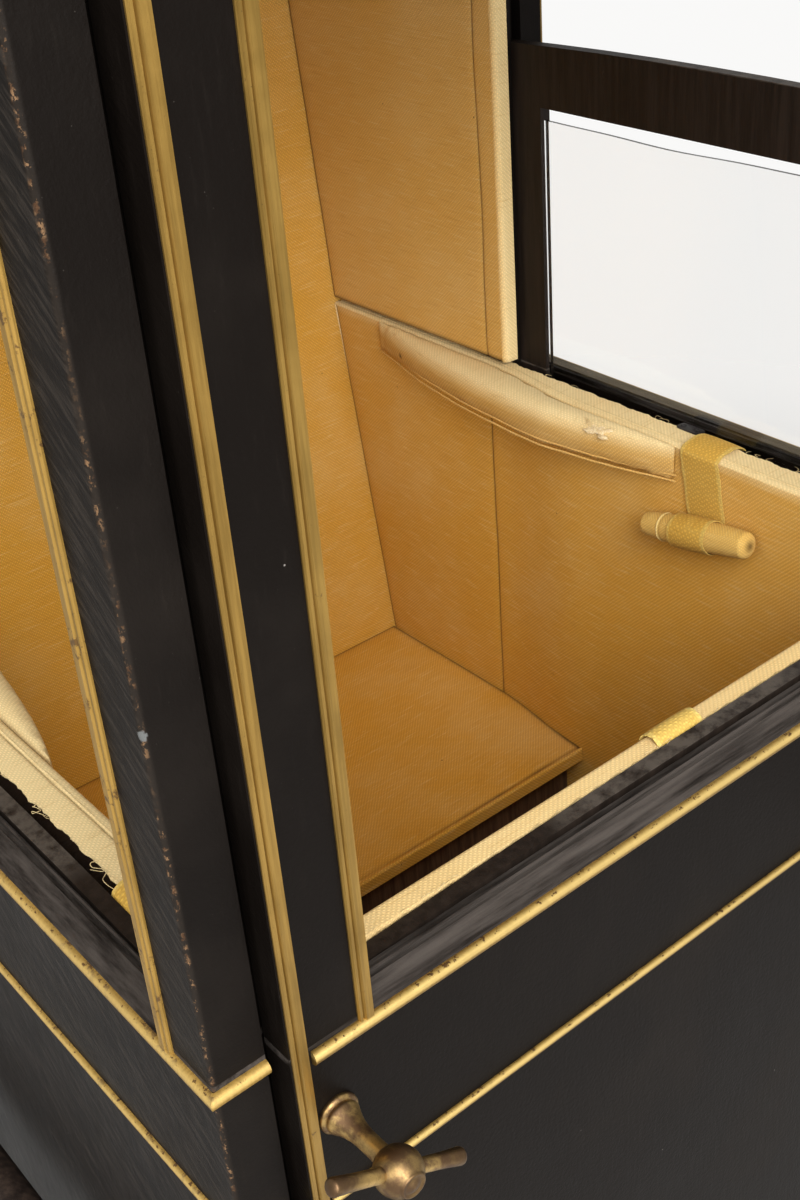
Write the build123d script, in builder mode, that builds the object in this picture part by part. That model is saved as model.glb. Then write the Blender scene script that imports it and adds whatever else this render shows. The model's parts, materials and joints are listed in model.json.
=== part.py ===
"""A sedan chair: a closed one-seat cabin on two carrying poles, with a front door and a lifting roof.

Millimetres, +Z up, +Y from the front to the back, +X to the right seen from the front.
The origin lies on the floor, under the middle of the poles and midway between the sides.
"""

import os
from math import sqrt

from build123d import *

# Cabin envelope
WIDTH = 750.0
DEPTH_AT_WAIST = 830.0
WAIST_HEIGHT = 790.0
WINDOW_HEIGHT = 560.0
SIDE_HEADER_HEIGHT = 90.0
FRONT_HEADER_HEIGHT = 42.0
BACK_LEAN_ABOVE_WAIST = 0.0971
BACK_LEAN_BELOW_WAIST = 0.1464

# Base frame, feet and floor board
FOOT_HEIGHT = 30.0
FOOT_SIZE = 56.0
BASE_RAIL_HEIGHT = 70.0
BASE_RAIL_WIDTH = 55.0
BEARER_WIDTH = 60.0
BEARER_HEIGHT = 22.0
BEARER_FROM_END = 220.0
BASE_CHAMFER = 6.0
FOOT_TAPER = 12.0
FLOOR_BOARD_THICKNESS = 16.0

# Walls, posts and sills
POST_FACE = 32.0
POST_REBATE = 10.0
POST_DEPTH = 46.0
POST_ARRIS = 3.0
OUTER_SKIN = 24.0
SASH_POCKET = 12.0
LINING_THICKNESS = 22.0
PANEL_THICKNESS = 10.0
INNER_LIP = 6.0
WAIST_RAIL_DEPTH = 40.0
LINING_ABOVE_WAIST = 8.0
WINDOW_LENGTH = 485.0
SASH_OVERLAP = 11.0
BACK_PANEL_THICKNESS = 12.0
BACK_LINING_THICKNESS = 20.0
QUARTER_PAD_THICKNESS = 16.0
QUARTER_PAD_OVERLAP = 2.5
QUARTER_PAD_BOTTOM = 13.5
FIT = 0.3

# Section of a sill: a ledge rising to its rim, a groove, a thin ridge and a lower step inside
SILL_RISE = 3.0
SILL_RIM_FROM_FACE = 16.0
SILL_GROOVE_WIDTH = 4.0
SILL_GROOVE_DEPTH = 2.0
SILL_RIDGE_WIDTH = 1.5
SILL_STEP = 4.0

# Side lining in plan: straight at the back, then swelling toward the seam, and cut back at the door
LINING_SEAM_FROM_FRONT = 553.0
LINING_SWELL = 13.0
LINING_SWELL_LENGTH = 130.0
LINING_DOOR_SWELL = 2.0
LINING_DOOR_TAPER = 22.0

# Door
DOOR_GAP = 6.5
DOOR_PROUD = 12.0
DOOR_LEAF = 22.0
DOOR_STILE = 53.5
DOOR_INNER_INSET = 28.0
DOOR_SKIN = 29.5
DOOR_LINING = 16.0
DOOR_BOTTOM_RAIL = 90.0
REBATE_GAP = 6.0

# Sashes and their glass
SASH_THICKNESS = 11.0
SASH_HEAD_LAP = 14.0
SASH_STILE = 45.0
SASH_RAIL = 56.0
SASH_ARCH = 6.0
GLASS_THICKNESS = 3.0
SASH_RAISED = 310.0
SASH_LOWERED = 9.0
SASH_FLOOR_CLEARANCE = 5.0

# Seat and arm pads
SEAT_BELOW_WAIST = 380.0
SEAT_FRONT = 418.0
SEAT_THICKNESS = 15.0
SEAT_EDGE_RADIUS = 5.0
RISER_SET_BACK = 24.0
RISER_THICKNESS = 16.0
ARM_PAD_FRONT = 297.0
ARM_PAD_REAR = 729.0
ARM_PAD_THICKNESS = 38.0
ARM_PAD_ABOVE_LINING = 4.0

# Plan of an arm pad: reach from the lining's straight face, and distance behind the pad's front end
ARM_PAD_NOSE_REACH = 16.0
ARM_PAD_SHOULDER_REACH = 31.0
ARM_PAD_REACH = 46.0
ARM_PAD_TAPER_REACH = 43.0
ARM_PAD_TAIL_REACH = 28.0
ARM_PAD_SHOULDER = 56.0
ARM_PAD_WIDEST = 140.0
ARM_PAD_TAPER = 220.0
ARM_PAD_TAIL = 330.0

# Straps and their toggles
STRAP_WIDTH = 42.0
STRAP_THICKNESS = 2.0
STRAP_LIP = 10.0
STRAP_TILT = 10.5
LEFT_STRAP_FROM_FRONT = 140.0
RIGHT_STRAP_FROM_FRONT = 274.5
DOOR_STRAP_OFFSET = 3.0
TOGGLE_DROP = 60.0
TOGGLE_SIDES = 12
TOGGLE_LENGTH = 118.0
TOGGLE_BELLY = 44.0
TOGGLE_RADIUS = 13.5
TOGGLE_END_RADIUS = 7.5

# Gilt mouldings
BEAD_RADIUS = 4.5
FINE_BEAD_RADIUS = 3.2
FINE_BEAD_BELOW_WAIST = 113.0
LOW_BEAD_ABOVE_BASE = 46.0
EDGE_MOULDING = 10.0
EDGE_MOULDING_PROUD = 3.0
EDGE_MOULDING_BASE = 1.0
NARROW_REED = 3.0
NARROW_REED_PROUD = 2.2
REED_FLANK = 60.0
EDGE_SET_BACK = 1.0
DOOR_BEAD_INSET = 13.0

# Door handle
HANDLE_FROM_EDGE = 23.7
HANDLE_BELOW_WAIST = 49.4
HANDLE_REACH = 51.0
HANDLE_TILT = 29.9
HANDLE_BAR_LENGTH = 95.0
HANDLE_BAR_RADIUS = 4.9
ROSETTE_RADIUS = 12.5
ROSETTE_THICKNESS = 3.5
TRUMPET_RADIUS = 10.5
TRUMPET_LENGTH = 20.0
HANDLE_STEM_RADIUS = 5.75
HANDLE_HUB_RADIUS = 15.0
HANDLE_HUB_RIM = 7.0
HANDLE_HUB_SLOPE = 7.5
HANDLE_BOSS_RADIUS = 9.5
HANDLE_BOSS_PROUD = 3.0

# Hinges of the door and of the roof
HINGE_LENGTH = 72.0
KNUCKLE_RADIUS = 4.0
HINGE_PIN_RADIUS = 2.0
HINGE_LEAF_WIDTH = 18.0
HINGE_FRAME_LEAF_WIDTH = 26.0
HINGE_LEAF_THICKNESS = 2.0
KNUCKLE_GAP = 0.4
LEAF_CLEARANCE = 0.7
PIN_BEHIND_KNUCKLE_FACE = 0.5
DOOR_HINGE_FROM_EDGE = 24.0
ROOF_HINGE_SPREAD = 480.0

# Poles and their brackets
POLE_LENGTH = 2800.0
POLE_RADIUS = 23.0
GRIP_RADIUS = 18.0
GRIP_LENGTH = 330.0
GRIP_TAPER = 140.0
GRIP_END_CHAMFER = 6.0
POLE_STAND_OFF = 40.0
POLE_HEIGHT = 445.0
BRACKET_FROM_FRONT = 114.0
BRACKET_SPACING = 520.0
BRACKET_WIDTH = 34.0
BRACKET_STRAP = 5.0
BRACKET_PLATE = 4.0
BRACKET_PLATE_HEIGHT = 118.0
BRACKET_CLEARANCE = 0.4

# Roof
ROOF_GAP = 5.0
ROOF_OVERHANG = 20.0
ROOF_RIM_HEIGHT = 34.0
ROOF_RIM_WIDTH = 58.0
ROOF_RISE_ACROSS = 118.0
ROOF_RISE_ALONG = 134.0
ROOF_SHELL = 10.0
HEADLINING = 4.0
ROOF_LEDGE = 30.0
FINIAL_RADIUS = 12.0
FINIAL_HEIGHT = 46.0
FINIAL_NECK_RADIUS = 4.8
FINIAL_NECK_HEIGHT = 10.0
FINIAL_BODY_RADIUS = 11.4
FINIAL_BODY_HEIGHT = 23.0

# Places worked out from the sizes
HALF = WIDTH / 2
FRONT = -DEPTH_AT_WAIST / 2
BACK_OUTER = FRONT + DEPTH_AT_WAIST
BACK_WALL = BACK_PANEL_THICKNESS + BACK_LINING_THICKNESS
BASE_TOP = FOOT_HEIGHT + BASE_RAIL_HEIGHT
WINDOW_HEAD = WAIST_HEIGHT + WINDOW_HEIGHT
FRAME_TOP = WINDOW_HEAD + SIDE_HEADER_HEIGHT
LINING_NEAR = OUTER_SKIN + SASH_POCKET + INNER_LIP
LINING_FACE = OUTER_SKIN + SASH_POCKET + LINING_THICKNESS
SWELLED_FACE = LINING_FACE + LINING_SWELL
WINDOW_FRONT = FRONT + POST_DEPTH
WINDOW_REAR = WINDOW_FRONT + WINDOW_LENGTH
SEAT_TOP = WAIST_HEIGHT - SEAT_BELOW_WAIST
POST_WIDE = POST_FACE + POST_REBATE
DOOR_HALF = HALF - POST_FACE - DOOR_GAP
DOOR_FACE = FRONT - DOOR_PROUD
DOOR_BOTTOM = BASE_TOP + DOOR_GAP
DOOR_TOP = FRAME_TOP - FRONT_HEADER_HEIGHT - DOOR_GAP
DOOR_OPENING_HALF = DOOR_HALF - DOOR_STILE
DOOR_INNER_HALF = DOOR_HALF - DOOR_INNER_INSET
FLOOR_TOP = FOOT_HEIGHT + BEARER_HEIGHT + FLOOR_BOARD_THICKNESS
RAIL_BOTTOM = WAIST_HEIGHT - WAIST_RAIL_DEPTH
SILL_EDGE = WAIST_HEIGHT + BEAD_RADIUS
SILL_RIM = SILL_EDGE + SILL_RISE
SILL_TOP = WAIST_HEIGHT + LINING_ABOVE_WAIST
SASH_HEIGHT = WINDOW_HEIGHT + SASH_HEAD_LAP
LOW_BEAD = BASE_TOP + LOW_BEAD_ABOVE_BASE
POCKET_FLOOR = WAIST_HEIGHT + SASH_LOWERED - SASH_HEIGHT - SASH_FLOOR_CLEARANCE

os.makedirs("parts", exist_ok=True)


def behind_front(distance):
    return FRONT + distance


def back_line(height, inward=0.0):
    """Y of the back wall at a height, measured inward from its outer face."""
    above = height - WAIST_HEIGHT
    lean = BACK_LEAN_ABOVE_WAIST if above > 0 else BACK_LEAN_BELOW_WAIST
    return BACK_OUTER - inward + lean * above


def inward_x(side, distance):
    """X at a distance inward from a side's outer face; side is -1 for left and 1 for right."""
    return side * (HALF - distance)


def across(side, near, far):
    """The pair of x limits between two depths of a side's wall."""
    return inward_x(side, near), inward_x(side, far)


def pad_point(side, reach, distance):
    """A plan point of an arm pad: reach from the lining's face, distance behind the front."""
    return inward_x(side, LINING_FACE + reach), behind_front(distance)


def prism(plane, outline, length, mode=Mode.ADD):
    """Add a prism of an outline on a plane to the part in progress."""
    with BuildSketch(plane) as face:
        with BuildLine():
            Polyline(*outline, close=True)
        make_face()
    extrude(face.sketch, amount=length, mode=mode)


def prism_x(outline, start, end, mode=Mode.ADD):
    """A (y, z) outline, drawn out from x = start to x = end."""
    low = min(start, end)
    prism(Plane.YZ.offset(low), outline, abs(end - start), mode)


def prism_y(outline, start, end, mode=Mode.ADD):
    """An (x, z) outline, drawn out from y = start to y = end."""
    far = max(start, end)
    prism(Plane.XZ.offset(-far), outline, abs(end - start), mode)


def prism_z(outline, bottom, top, mode=Mode.ADD):
    """An (x, y) outline, drawn up from z = bottom to z = top."""
    prism(Plane.XY.offset(bottom), outline, top - bottom, mode)


def block(x_range, y_range, z_range, mode=Mode.ADD):
    """An upright block between three pairs of limits."""
    x0, x1 = sorted(x_range)
    y0, y1 = sorted(y_range)
    prism_z([(x0, y0), (x1, y0), (x1, y1), (x0, y1)], z_range[0], z_range[1], mode)


def leaning_strip(z_range, front_inward, rear_inward):
    """A (y, z) strip that follows the back wall between two depths, with a corner at the waist."""
    low, high = z_range
    heights = [low, high]
    if low < WAIST_HEIGHT < high:
        heights = [low, WAIST_HEIGHT, high]
    rear = [(back_line(z, rear_inward), z) for z in heights]
    front = [(back_line(z, front_inward), z) for z in reversed(heights)]
    return rear + front


def wall_to_back(z_range, front_y, rear_inward):
    """A (y, z) wall outline from a straight front edge to the leaning back."""
    low, high = z_range
    heights = [low, high]
    if low < WAIST_HEIGHT < high:
        heights = [low, WAIST_HEIGHT, high]
    rear = [(back_line(z, rear_inward), z) for z in reversed(heights)]
    return [(front_y, low)] + [(y, z) for y, z in rear[::-1]] + [(front_y, high)]


def sill_outline(place, inner):
    """A sill's section down to its rail's lower edge, out to an inner depth. The function place turns
    a depth in the wall into the section's own coordinate."""
    ridge_start = SILL_RIM_FROM_FACE + SILL_GROOVE_WIDTH
    ridge_end = ridge_start + SILL_RIDGE_WIDTH
    steps = (
        (0, RAIL_BOTTOM),
        (0, SILL_EDGE),
        (SILL_RIM_FROM_FACE, SILL_RIM),
        (SILL_RIM_FROM_FACE, SILL_RIM - SILL_GROOVE_DEPTH),
        (ridge_start, SILL_RIM - SILL_GROOVE_DEPTH),
        (ridge_start, SILL_RIM),
        (ridge_end, SILL_RIM),
        (ridge_end, SILL_RIM - SILL_STEP),
        (inner, SILL_RIM - SILL_STEP),
        (inner, RAIL_BOTTOM),
    )
    return [(place(depth), height) for depth, height in steps]


def side_wall(side, clearance, mode):
    """The block outside the side lining's inner face, which swells in plan between door and seam."""
    seam = behind_front(LINING_SEAM_FROM_FRONT)
    swell_start = (inward_x(side, SWELLED_FACE + clearance), seam - LINING_SWELL_LENGTH)
    swell_end = (inward_x(side, LINING_FACE + clearance), seam)
    with BuildSketch(Plane.XY.offset(FLOOR_TOP)) as plan:
        with BuildLine():
            Spline(swell_start, swell_end, tangents=((0, 1), (0, 1)))
            Polyline(
                swell_end,
                (inward_x(side, LINING_FACE + clearance), BACK_OUTER),
                (inward_x(side, 0), BACK_OUTER),
                (inward_x(side, 0), FRONT),
                (inward_x(side, LINING_FACE + LINING_DOOR_SWELL + clearance), FRONT),
                (inward_x(side, LINING_FACE + LINING_DOOR_SWELL + clearance), WINDOW_FRONT),
                (inward_x(side, SWELLED_FACE + clearance), WINDOW_FRONT + LINING_DOOR_TAPER),
                swell_start,
            )
        make_face()
    extrude(plan.sketch, amount=FRAME_TOP - FLOOR_TOP, mode=mode)


def half_round_face(plane, radius):
    """A half disc that stands on its plane's x axis."""
    with BuildSketch(plane) as face:
        Circle(radius)
        Rectangle(3 * radius, 3 * radius, align=(Align.CENTER, Align.MAX), mode=Mode.SUBTRACT)
    return face.sketch


def half_round(plane, radius, length):
    """A half-round bead that stands on its plane's x axis, drawn out along the plane's normal."""
    extrude(half_round_face(plane, radius), amount=length)


def corner_bead(side, height, radius):
    """A half-round bead from the back along a side, mitred at the corner, then across the front post."""
    start = (side * HALF, back_line(height), height)
    with BuildLine() as route:
        Polyline(start, (side * HALF, FRONT, height), (inward_x(side, POST_FACE), FRONT, height))
    section = half_round_face(Plane(start, x_dir=(0, 0, -side), z_dir=(0, -1, 0)), radius)
    sweep(section, path=route.wire(), transition=Transition.RIGHT)


def reeded_strip(plane, narrow_side, length):
    """A wide reed with a narrow one beside it on one side (1 or -1) of the plane's x axis, both on a
    thin base, drawn out along the plane's normal."""
    on_base = (Align.CENTER, Align.MIN)
    with BuildSketch(plane) as face:
        Rectangle(EDGE_MOULDING, EDGE_MOULDING_BASE, align=on_base)
        with Locations((-narrow_side * NARROW_REED / 2, EDGE_MOULDING_BASE)):
            wide_height = EDGE_MOULDING_PROUD - EDGE_MOULDING_BASE
            Trapezoid(EDGE_MOULDING - NARROW_REED, wide_height, REED_FLANK, align=on_base)
        with Locations((narrow_side * (EDGE_MOULDING - NARROW_REED) / 2, EDGE_MOULDING_BASE)):
            narrow_height = NARROW_REED_PROUD - EDGE_MOULDING_BASE
            Trapezoid(NARROW_REED, narrow_height, REED_FLANK, align=on_base)
    extrude(face.sketch, amount=length)


def save(part, name):
    part.label = name
    export_step(part, f"parts/{name}.step")


# Base: a frame of rails on four block feet, with two bearers under the floor board
base_rear = back_line(FOOT_HEIGHT)
with BuildPart() as base_frame:
    block((-HALF, HALF), (FRONT, base_rear), (FOOT_HEIGHT, BASE_TOP))
    block(
        (-HALF + BASE_RAIL_WIDTH, HALF - BASE_RAIL_WIDTH),
        (FRONT + BASE_RAIL_WIDTH, base_rear - BASE_RAIL_WIDTH),
        (FOOT_HEIGHT, BASE_TOP),
        Mode.SUBTRACT,
    )
    for middle in (FRONT + BEARER_FROM_END, base_rear - BEARER_FROM_END):
        block(
            (-HALF + BASE_RAIL_WIDTH, HALF - BASE_RAIL_WIDTH),
            (middle - BEARER_WIDTH / 2, middle + BEARER_WIDTH / 2),
            (FOOT_HEIGHT, FOOT_HEIGHT + BEARER_HEIGHT),
        )
    bottom_edges = base_frame.edges().group_by(Axis.Z)[0].filter_by(Axis.Y)
    chamfer([bottom_edges.sort_by(Axis.X)[0], bottom_edges.sort_by(Axis.X)[-1]], BASE_CHAMFER)
save(base_frame.part, "base_frame")

with BuildPart() as feet:
    for x in (-HALF + FOOT_SIZE / 2 + FIT, HALF - FOOT_SIZE / 2 - FIT):
        for y in (FRONT + FOOT_SIZE / 2, base_rear - FOOT_SIZE / 2):
            with BuildSketch(Plane.XY.offset(FOOT_HEIGHT)) as foot_top:
                with Locations((x, y)):
                    Rectangle(FOOT_SIZE, FOOT_SIZE)
            extrude(foot_top.sketch, amount=-FOOT_HEIGHT, taper=FOOT_TAPER)
save(feet.part, "feet")

with BuildPart() as floor_board:
    block(
        (-HALF + BASE_RAIL_WIDTH + FIT, HALF - BASE_RAIL_WIDTH - FIT),
        (FRONT + BASE_RAIL_WIDTH + FIT, base_rear - BASE_RAIL_WIDTH - FIT),
        (FLOOR_TOP - FLOOR_BOARD_THICKNESS, FLOOR_TOP),
    )
save(floor_board.part, "floor_board")

# Sides: posts, panels, waist rails, quarters, headers and linings, once for each side
sash_start = WINDOW_FRONT - SASH_OVERLAP
sash_end = WINDOW_REAR + SASH_OVERLAP
groove = (OUTER_SKIN, OUTER_SKIN + SASH_POCKET)
rebate_depth = DOOR_LEAF - DOOR_PROUD + REBATE_GAP
for side, hand in ((-1, "left"), (1, "right")):
    with BuildPart() as post_front:
        block(across(side, 0, POST_FACE), (FRONT, WINDOW_FRONT), (BASE_TOP, FRAME_TOP))
        block(
            across(side, POST_FACE, POST_WIDE),
            (FRONT + rebate_depth, WINDOW_FRONT),
            (BASE_TOP, FRAME_TOP),
        )
        block(
            across(side, *groove),
            (sash_start, WINDOW_FRONT),
            (BASE_TOP, FRAME_TOP),
            Mode.SUBTRACT,
        )
        outer_arris = post_front.edges().filter_by(Axis.Z).group_by(Axis.Y)[0]
        fillet(outer_arris.sort_by(Axis.X)[0 if side < 0 else -1], POST_ARRIS)
    save(post_front.part, f"post_front_{hand}")

    with BuildPart() as post_rear:
        prism_x(leaning_strip((BASE_TOP, FRAME_TOP), POST_DEPTH, 0), *across(side, 0, POST_FACE))
    save(post_rear.part, f"post_rear_{hand}")

    panel_range = (BASE_TOP, RAIL_BOTTOM)
    with BuildPart() as panel_lower:
        prism_x(
            wall_to_back(panel_range, WINDOW_FRONT, POST_DEPTH),
            *across(side, 0, PANEL_THICKNESS),
        )
    save(panel_lower.part, f"panel_lower_{hand}")

    with BuildPart() as waist_rail:
        sill = sill_outline(lambda depth: side * (HALF - depth), OUTER_SKIN)
        prism_y(sill, WINDOW_FRONT, WINDOW_REAR)
        prism_x(
            wall_to_back((RAIL_BOTTOM, WAIST_HEIGHT), WINDOW_REAR, POST_DEPTH),
            *across(side, 0, OUTER_SKIN),
        )
    save(waist_rail.part, f"waist_rail_{hand}")

    quarter_range = (WAIST_HEIGHT, WINDOW_HEAD)
    with BuildPart() as quarter_panel:
        prism_x(
            wall_to_back(quarter_range, WINDOW_REAR, POST_DEPTH),
            *across(side, 0, OUTER_SKIN),
        )
        prism_x(
            wall_to_back((SILL_TOP, WINDOW_HEAD), WINDOW_REAR, BACK_WALL + FIT),
            *across(side, POST_FACE + FIT, LINING_NEAR),
        )
        prism_x(
            wall_to_back((SILL_TOP, WINDOW_HEAD), WINDOW_REAR, POST_DEPTH),
            *across(side, OUTER_SKIN, POST_FACE + FIT),
        )
        block(
            across(side, *groove),
            (WINDOW_REAR, sash_end),
            quarter_range,
            Mode.SUBTRACT,
        )
    save(quarter_panel.part, f"quarter_panel_{hand}")

    with BuildPart() as header_side:
        prism_x(
            wall_to_back((WINDOW_HEAD, FRAME_TOP), WINDOW_FRONT, POST_DEPTH),
            *across(side, 0, POST_FACE),
        )
        prism_x(
            wall_to_back((WINDOW_HEAD, FRAME_TOP), WINDOW_FRONT, BACK_WALL + FIT),
            *across(side, POST_FACE + FIT, LINING_NEAR),
        )
        prism_x(
            wall_to_back((WINDOW_HEAD, FRAME_TOP), WINDOW_FRONT, POST_DEPTH),
            *across(side, POST_FACE, POST_FACE + FIT),
        )
        block(
            across(side, *groove),
            (WINDOW_FRONT, sash_end),
            (WINDOW_HEAD, WINDOW_HEAD + SASH_OVERLAP),
            Mode.SUBTRACT,
        )
    save(header_side.part, f"header_{hand}")

    with BuildPart() as lining_lower:
        prism_x(
            wall_to_back((BASE_TOP + FIT, SILL_TOP - FIT), WINDOW_FRONT + FIT, BACK_WALL + FIT),
            *across(side, LINING_NEAR + FIT, SWELLED_FACE),
        )
        side_wall(side, 0, Mode.INTERSECT)
    save(lining_lower.part, f"lining_lower_{hand}")

    with BuildPart() as quarter_pad:
        prism_x(
            wall_to_back(
                (WAIST_HEIGHT + QUARTER_PAD_BOTTOM, WINDOW_HEAD - FIT),
                WINDOW_REAR - QUARTER_PAD_OVERLAP,
                BACK_WALL + FIT,
            ),
            *across(side, LINING_NEAR + FIT, LINING_NEAR + QUARTER_PAD_THICKNESS),
        )
    save(quarter_pad.part, f"quarter_pad_{hand}")

    nose = pad_point(side, ARM_PAD_NOSE_REACH, ARM_PAD_FRONT)
    shoulder = pad_point(side, ARM_PAD_SHOULDER_REACH, ARM_PAD_FRONT + ARM_PAD_SHOULDER)
    widest = pad_point(side, ARM_PAD_REACH, ARM_PAD_FRONT + ARM_PAD_WIDEST)
    taper = pad_point(side, ARM_PAD_TAPER_REACH, ARM_PAD_FRONT + ARM_PAD_TAPER)
    tail = pad_point(side, ARM_PAD_TAIL_REACH, ARM_PAD_FRONT + ARM_PAD_TAIL)
    rear = pad_point(side, FIT, ARM_PAD_REAR)
    with BuildPart() as arm_pad:
        pad_top = SILL_TOP - FIT + ARM_PAD_ABOVE_LINING
        with BuildSketch(Plane.XY.offset(pad_top - ARM_PAD_THICKNESS)) as pad_plan:
            with BuildLine():
                Polyline(rear, pad_point(side, FIT, ARM_PAD_FRONT), nose)
                ThreePointArc(nose, shoulder, widest)
                ThreePointArc(widest, taper, tail)
                Line(tail, rear)
            make_face()
        extrude(pad_plan.sketch, amount=ARM_PAD_THICKNESS)
        side_wall(side, FIT, Mode.SUBTRACT)
    save(arm_pad.part, f"arm_pad_{hand}")

# Back: panels, linings and the headers that close the top frame
with BuildPart() as panel_back_lower:
    prism_x(
        leaning_strip((BASE_TOP, WAIST_HEIGHT), BACK_PANEL_THICKNESS, 0),
        -HALF + POST_FACE,
        HALF - POST_FACE,
    )
save(panel_back_lower.part, "panel_back_lower")

with BuildPart() as panel_back_upper:
    prism_x(
        leaning_strip((WAIST_HEIGHT, WINDOW_HEAD), BACK_PANEL_THICKNESS, 0),
        -HALF + POST_FACE,
        HALF - POST_FACE,
    )
save(panel_back_upper.part, "panel_back_upper")

for name, low, high in (
    ("lining_back_lower", BASE_TOP + FIT, WAIST_HEIGHT - FIT),
    ("lining_back_upper", WAIST_HEIGHT + FIT, WINDOW_HEAD - FIT),
):
    with BuildPart() as lining_back:
        prism_x(
            leaning_strip((low, high), BACK_WALL, BACK_PANEL_THICKNESS + FIT),
            -HALF + POST_FACE + FIT,
            HALF - POST_FACE - FIT,
        )
    save(lining_back.part, name)

with BuildPart() as header_back:
    prism_x(
        leaning_strip((WINDOW_HEAD, FRAME_TOP), BACK_WALL, 0),
        -HALF + POST_FACE + FIT,
        HALF - POST_FACE - FIT,
    )
save(header_back.part, "header_back")

front_header_bottom = FRAME_TOP - FRONT_HEADER_HEIGHT
with BuildPart() as header_front:
    block(
        (-HALF + POST_FACE, HALF - POST_FACE),
        (FRONT, FRONT + rebate_depth),
        (front_header_bottom, FRAME_TOP),
    )
    block(
        (-HALF + POST_WIDE, HALF - POST_WIDE),
        (FRONT + rebate_depth, WINDOW_FRONT - SASH_OVERLAP),
        (front_header_bottom, FRAME_TOP),
    )
save(header_front.part, "header_front")

# Seat: a board between the linings on a set-back riser
seat_half = HALF - LINING_FACE - FIT
seat_front = behind_front(SEAT_FRONT)
riser_front = seat_front + RISER_SET_BACK
with BuildPart() as seat_board:
    prism_x(
        wall_to_back((SEAT_TOP - SEAT_THICKNESS, SEAT_TOP), seat_front, BACK_WALL + FIT),
        -seat_half,
        seat_half,
    )
    fillet(seat_board.edges().filter_by(Axis.X).group_by(Axis.Y)[0], SEAT_EDGE_RADIUS)
    for side in (-1, 1):
        side_wall(side, FIT, Mode.SUBTRACT)
save(seat_board.part, "seat_board")

with BuildPart() as seat_riser:
    riser_half = seat_half - LINING_SWELL
    block(
        (-riser_half, riser_half),
        (riser_front, riser_front + RISER_THICKNESS),
        (FLOOR_TOP, SEAT_TOP - SEAT_THICKNESS),
    )
save(seat_riser.part, "seat_riser")


def arched_frame(plane, half_width, top, bottom, stile, rail, thickness):
    """A sash frame with a slightly arched top rail, its face on the plane (width, height)."""
    with BuildSketch(plane) as face:
        with BuildLine():
            Polyline(
                (-half_width, top - SASH_ARCH),
                (-half_width, bottom),
                (half_width, bottom),
                (half_width, top - SASH_ARCH),
            )
            ThreePointArc(
                (half_width, top - SASH_ARCH),
                (0, top),
                (-half_width, top - SASH_ARCH),
            )
        make_face()
        with Locations((0, (top + bottom) / 2)):
            Rectangle(2 * (half_width - stile), top - bottom - 2 * rail, mode=Mode.SUBTRACT)
    extrude(face.sketch, amount=thickness)


def sash_glass(plane, half_width, top, bottom, stile, rail, thickness):
    """The pane let into a sash, on the same plane as the frame's face."""
    with BuildSketch(plane) as face:
        with Locations((0, (top + bottom) / 2)):
            Rectangle(2 * (half_width - stile) - 2 * FIT, top - bottom - 2 * rail - 2 * FIT)
    extrude(face.sketch, amount=thickness)


# Side sashes: the left one lowered into its pocket, the right one part raised
window_middle = (WINDOW_FRONT + WINDOW_REAR) / 2
sash_half = WINDOW_LENGTH / 2 + SASH_OVERLAP - FIT
sash_inset = (SASH_POCKET - SASH_THICKNESS) / 2
glass_inset = (SASH_THICKNESS - GLASS_THICKNESS) / 2
side_sashes = []
for side, hand, rise in ((-1, "left", SASH_LOWERED), (1, "right", SASH_RAISED)):
    sash_top = WAIST_HEIGHT + rise
    near_face = min(across(side, OUTER_SKIN + sash_inset, OUTER_SKIN + sash_inset + SASH_THICKNESS))
    sash_plane = Plane((near_face, window_middle, 0), x_dir=(0, 1, 0), z_dir=(1, 0, 0))
    sash_size = (sash_half, sash_top, sash_top - SASH_HEIGHT, SASH_STILE, SASH_RAIL)
    side_sashes.append((sash_plane, sash_size))
    with BuildPart() as sash:
        arched_frame(sash_plane, *sash_size, SASH_THICKNESS)
    save(sash.part, f"sash_{hand}")

with BuildPart() as side_glass:
    for sash_plane, sash_size in side_sashes:
        sash_glass(sash_plane.offset(glass_inset), *sash_size, GLASS_THICKNESS)
save(side_glass.part, "side_glass")

# Side straps: out of the pocket, over the lining's top edge and down round the toggle
wrap_radius = TOGGLE_RADIUS + FIT
strap_drop = LINING_ABOVE_WAIST + TOGGLE_DROP


def loop_centre(turn):
    """Where the loop's centre lies, for a strap that turns down over an edge at a depth."""
    return turn + FIT + STRAP_THICKNESS + wrap_radius


def toggle_section(radius, mode=Mode.ADD):
    """The many-sided section that a padded toggle and the loop round it share, a flat side to the wall."""
    turned = 180 / TOGGLE_SIDES
    RegularPolygon(radius, TOGGLE_SIDES, major_radius=False, rotation=turned, mode=mode)


def strap_over_edge(plane, start, turn, tilt):
    """A strap that lies flat from start to turn and hangs down to a loop, which a tilt in degrees
    swings forward. On the plane, x is the depth in the wall and y the height above the wall's edge."""
    near = turn + FIT
    far = near + STRAP_THICKNESS
    with BuildSketch(plane) as flat_part:
        with BuildLine():
            Polyline(
                (start, 0),
                (start, STRAP_THICKNESS),
                (far, STRAP_THICKNESS),
                (far, -STRAP_LIP),
                (near, -STRAP_LIP),
                (near, 0),
                close=True,
            )
        make_face()
    extrude(flat_part.sketch, amount=STRAP_WIDTH / 2, both=True)
    with BuildSketch(plane.rotated((-tilt, 0, 0))) as hanging_part:
        with BuildLine():
            Polyline(
                (near, -STRAP_LIP / 2),
                (far, -STRAP_LIP / 2),
                (far, -strap_drop),
                (near, -strap_drop),
                close=True,
            )
        make_face()
        with Locations((loop_centre(turn), -strap_drop)):
            toggle_section(wrap_radius + STRAP_THICKNESS)
            toggle_section(wrap_radius, Mode.SUBTRACT)
    extrude(hanging_part.sketch, amount=STRAP_WIDTH / 2, both=True)


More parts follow.
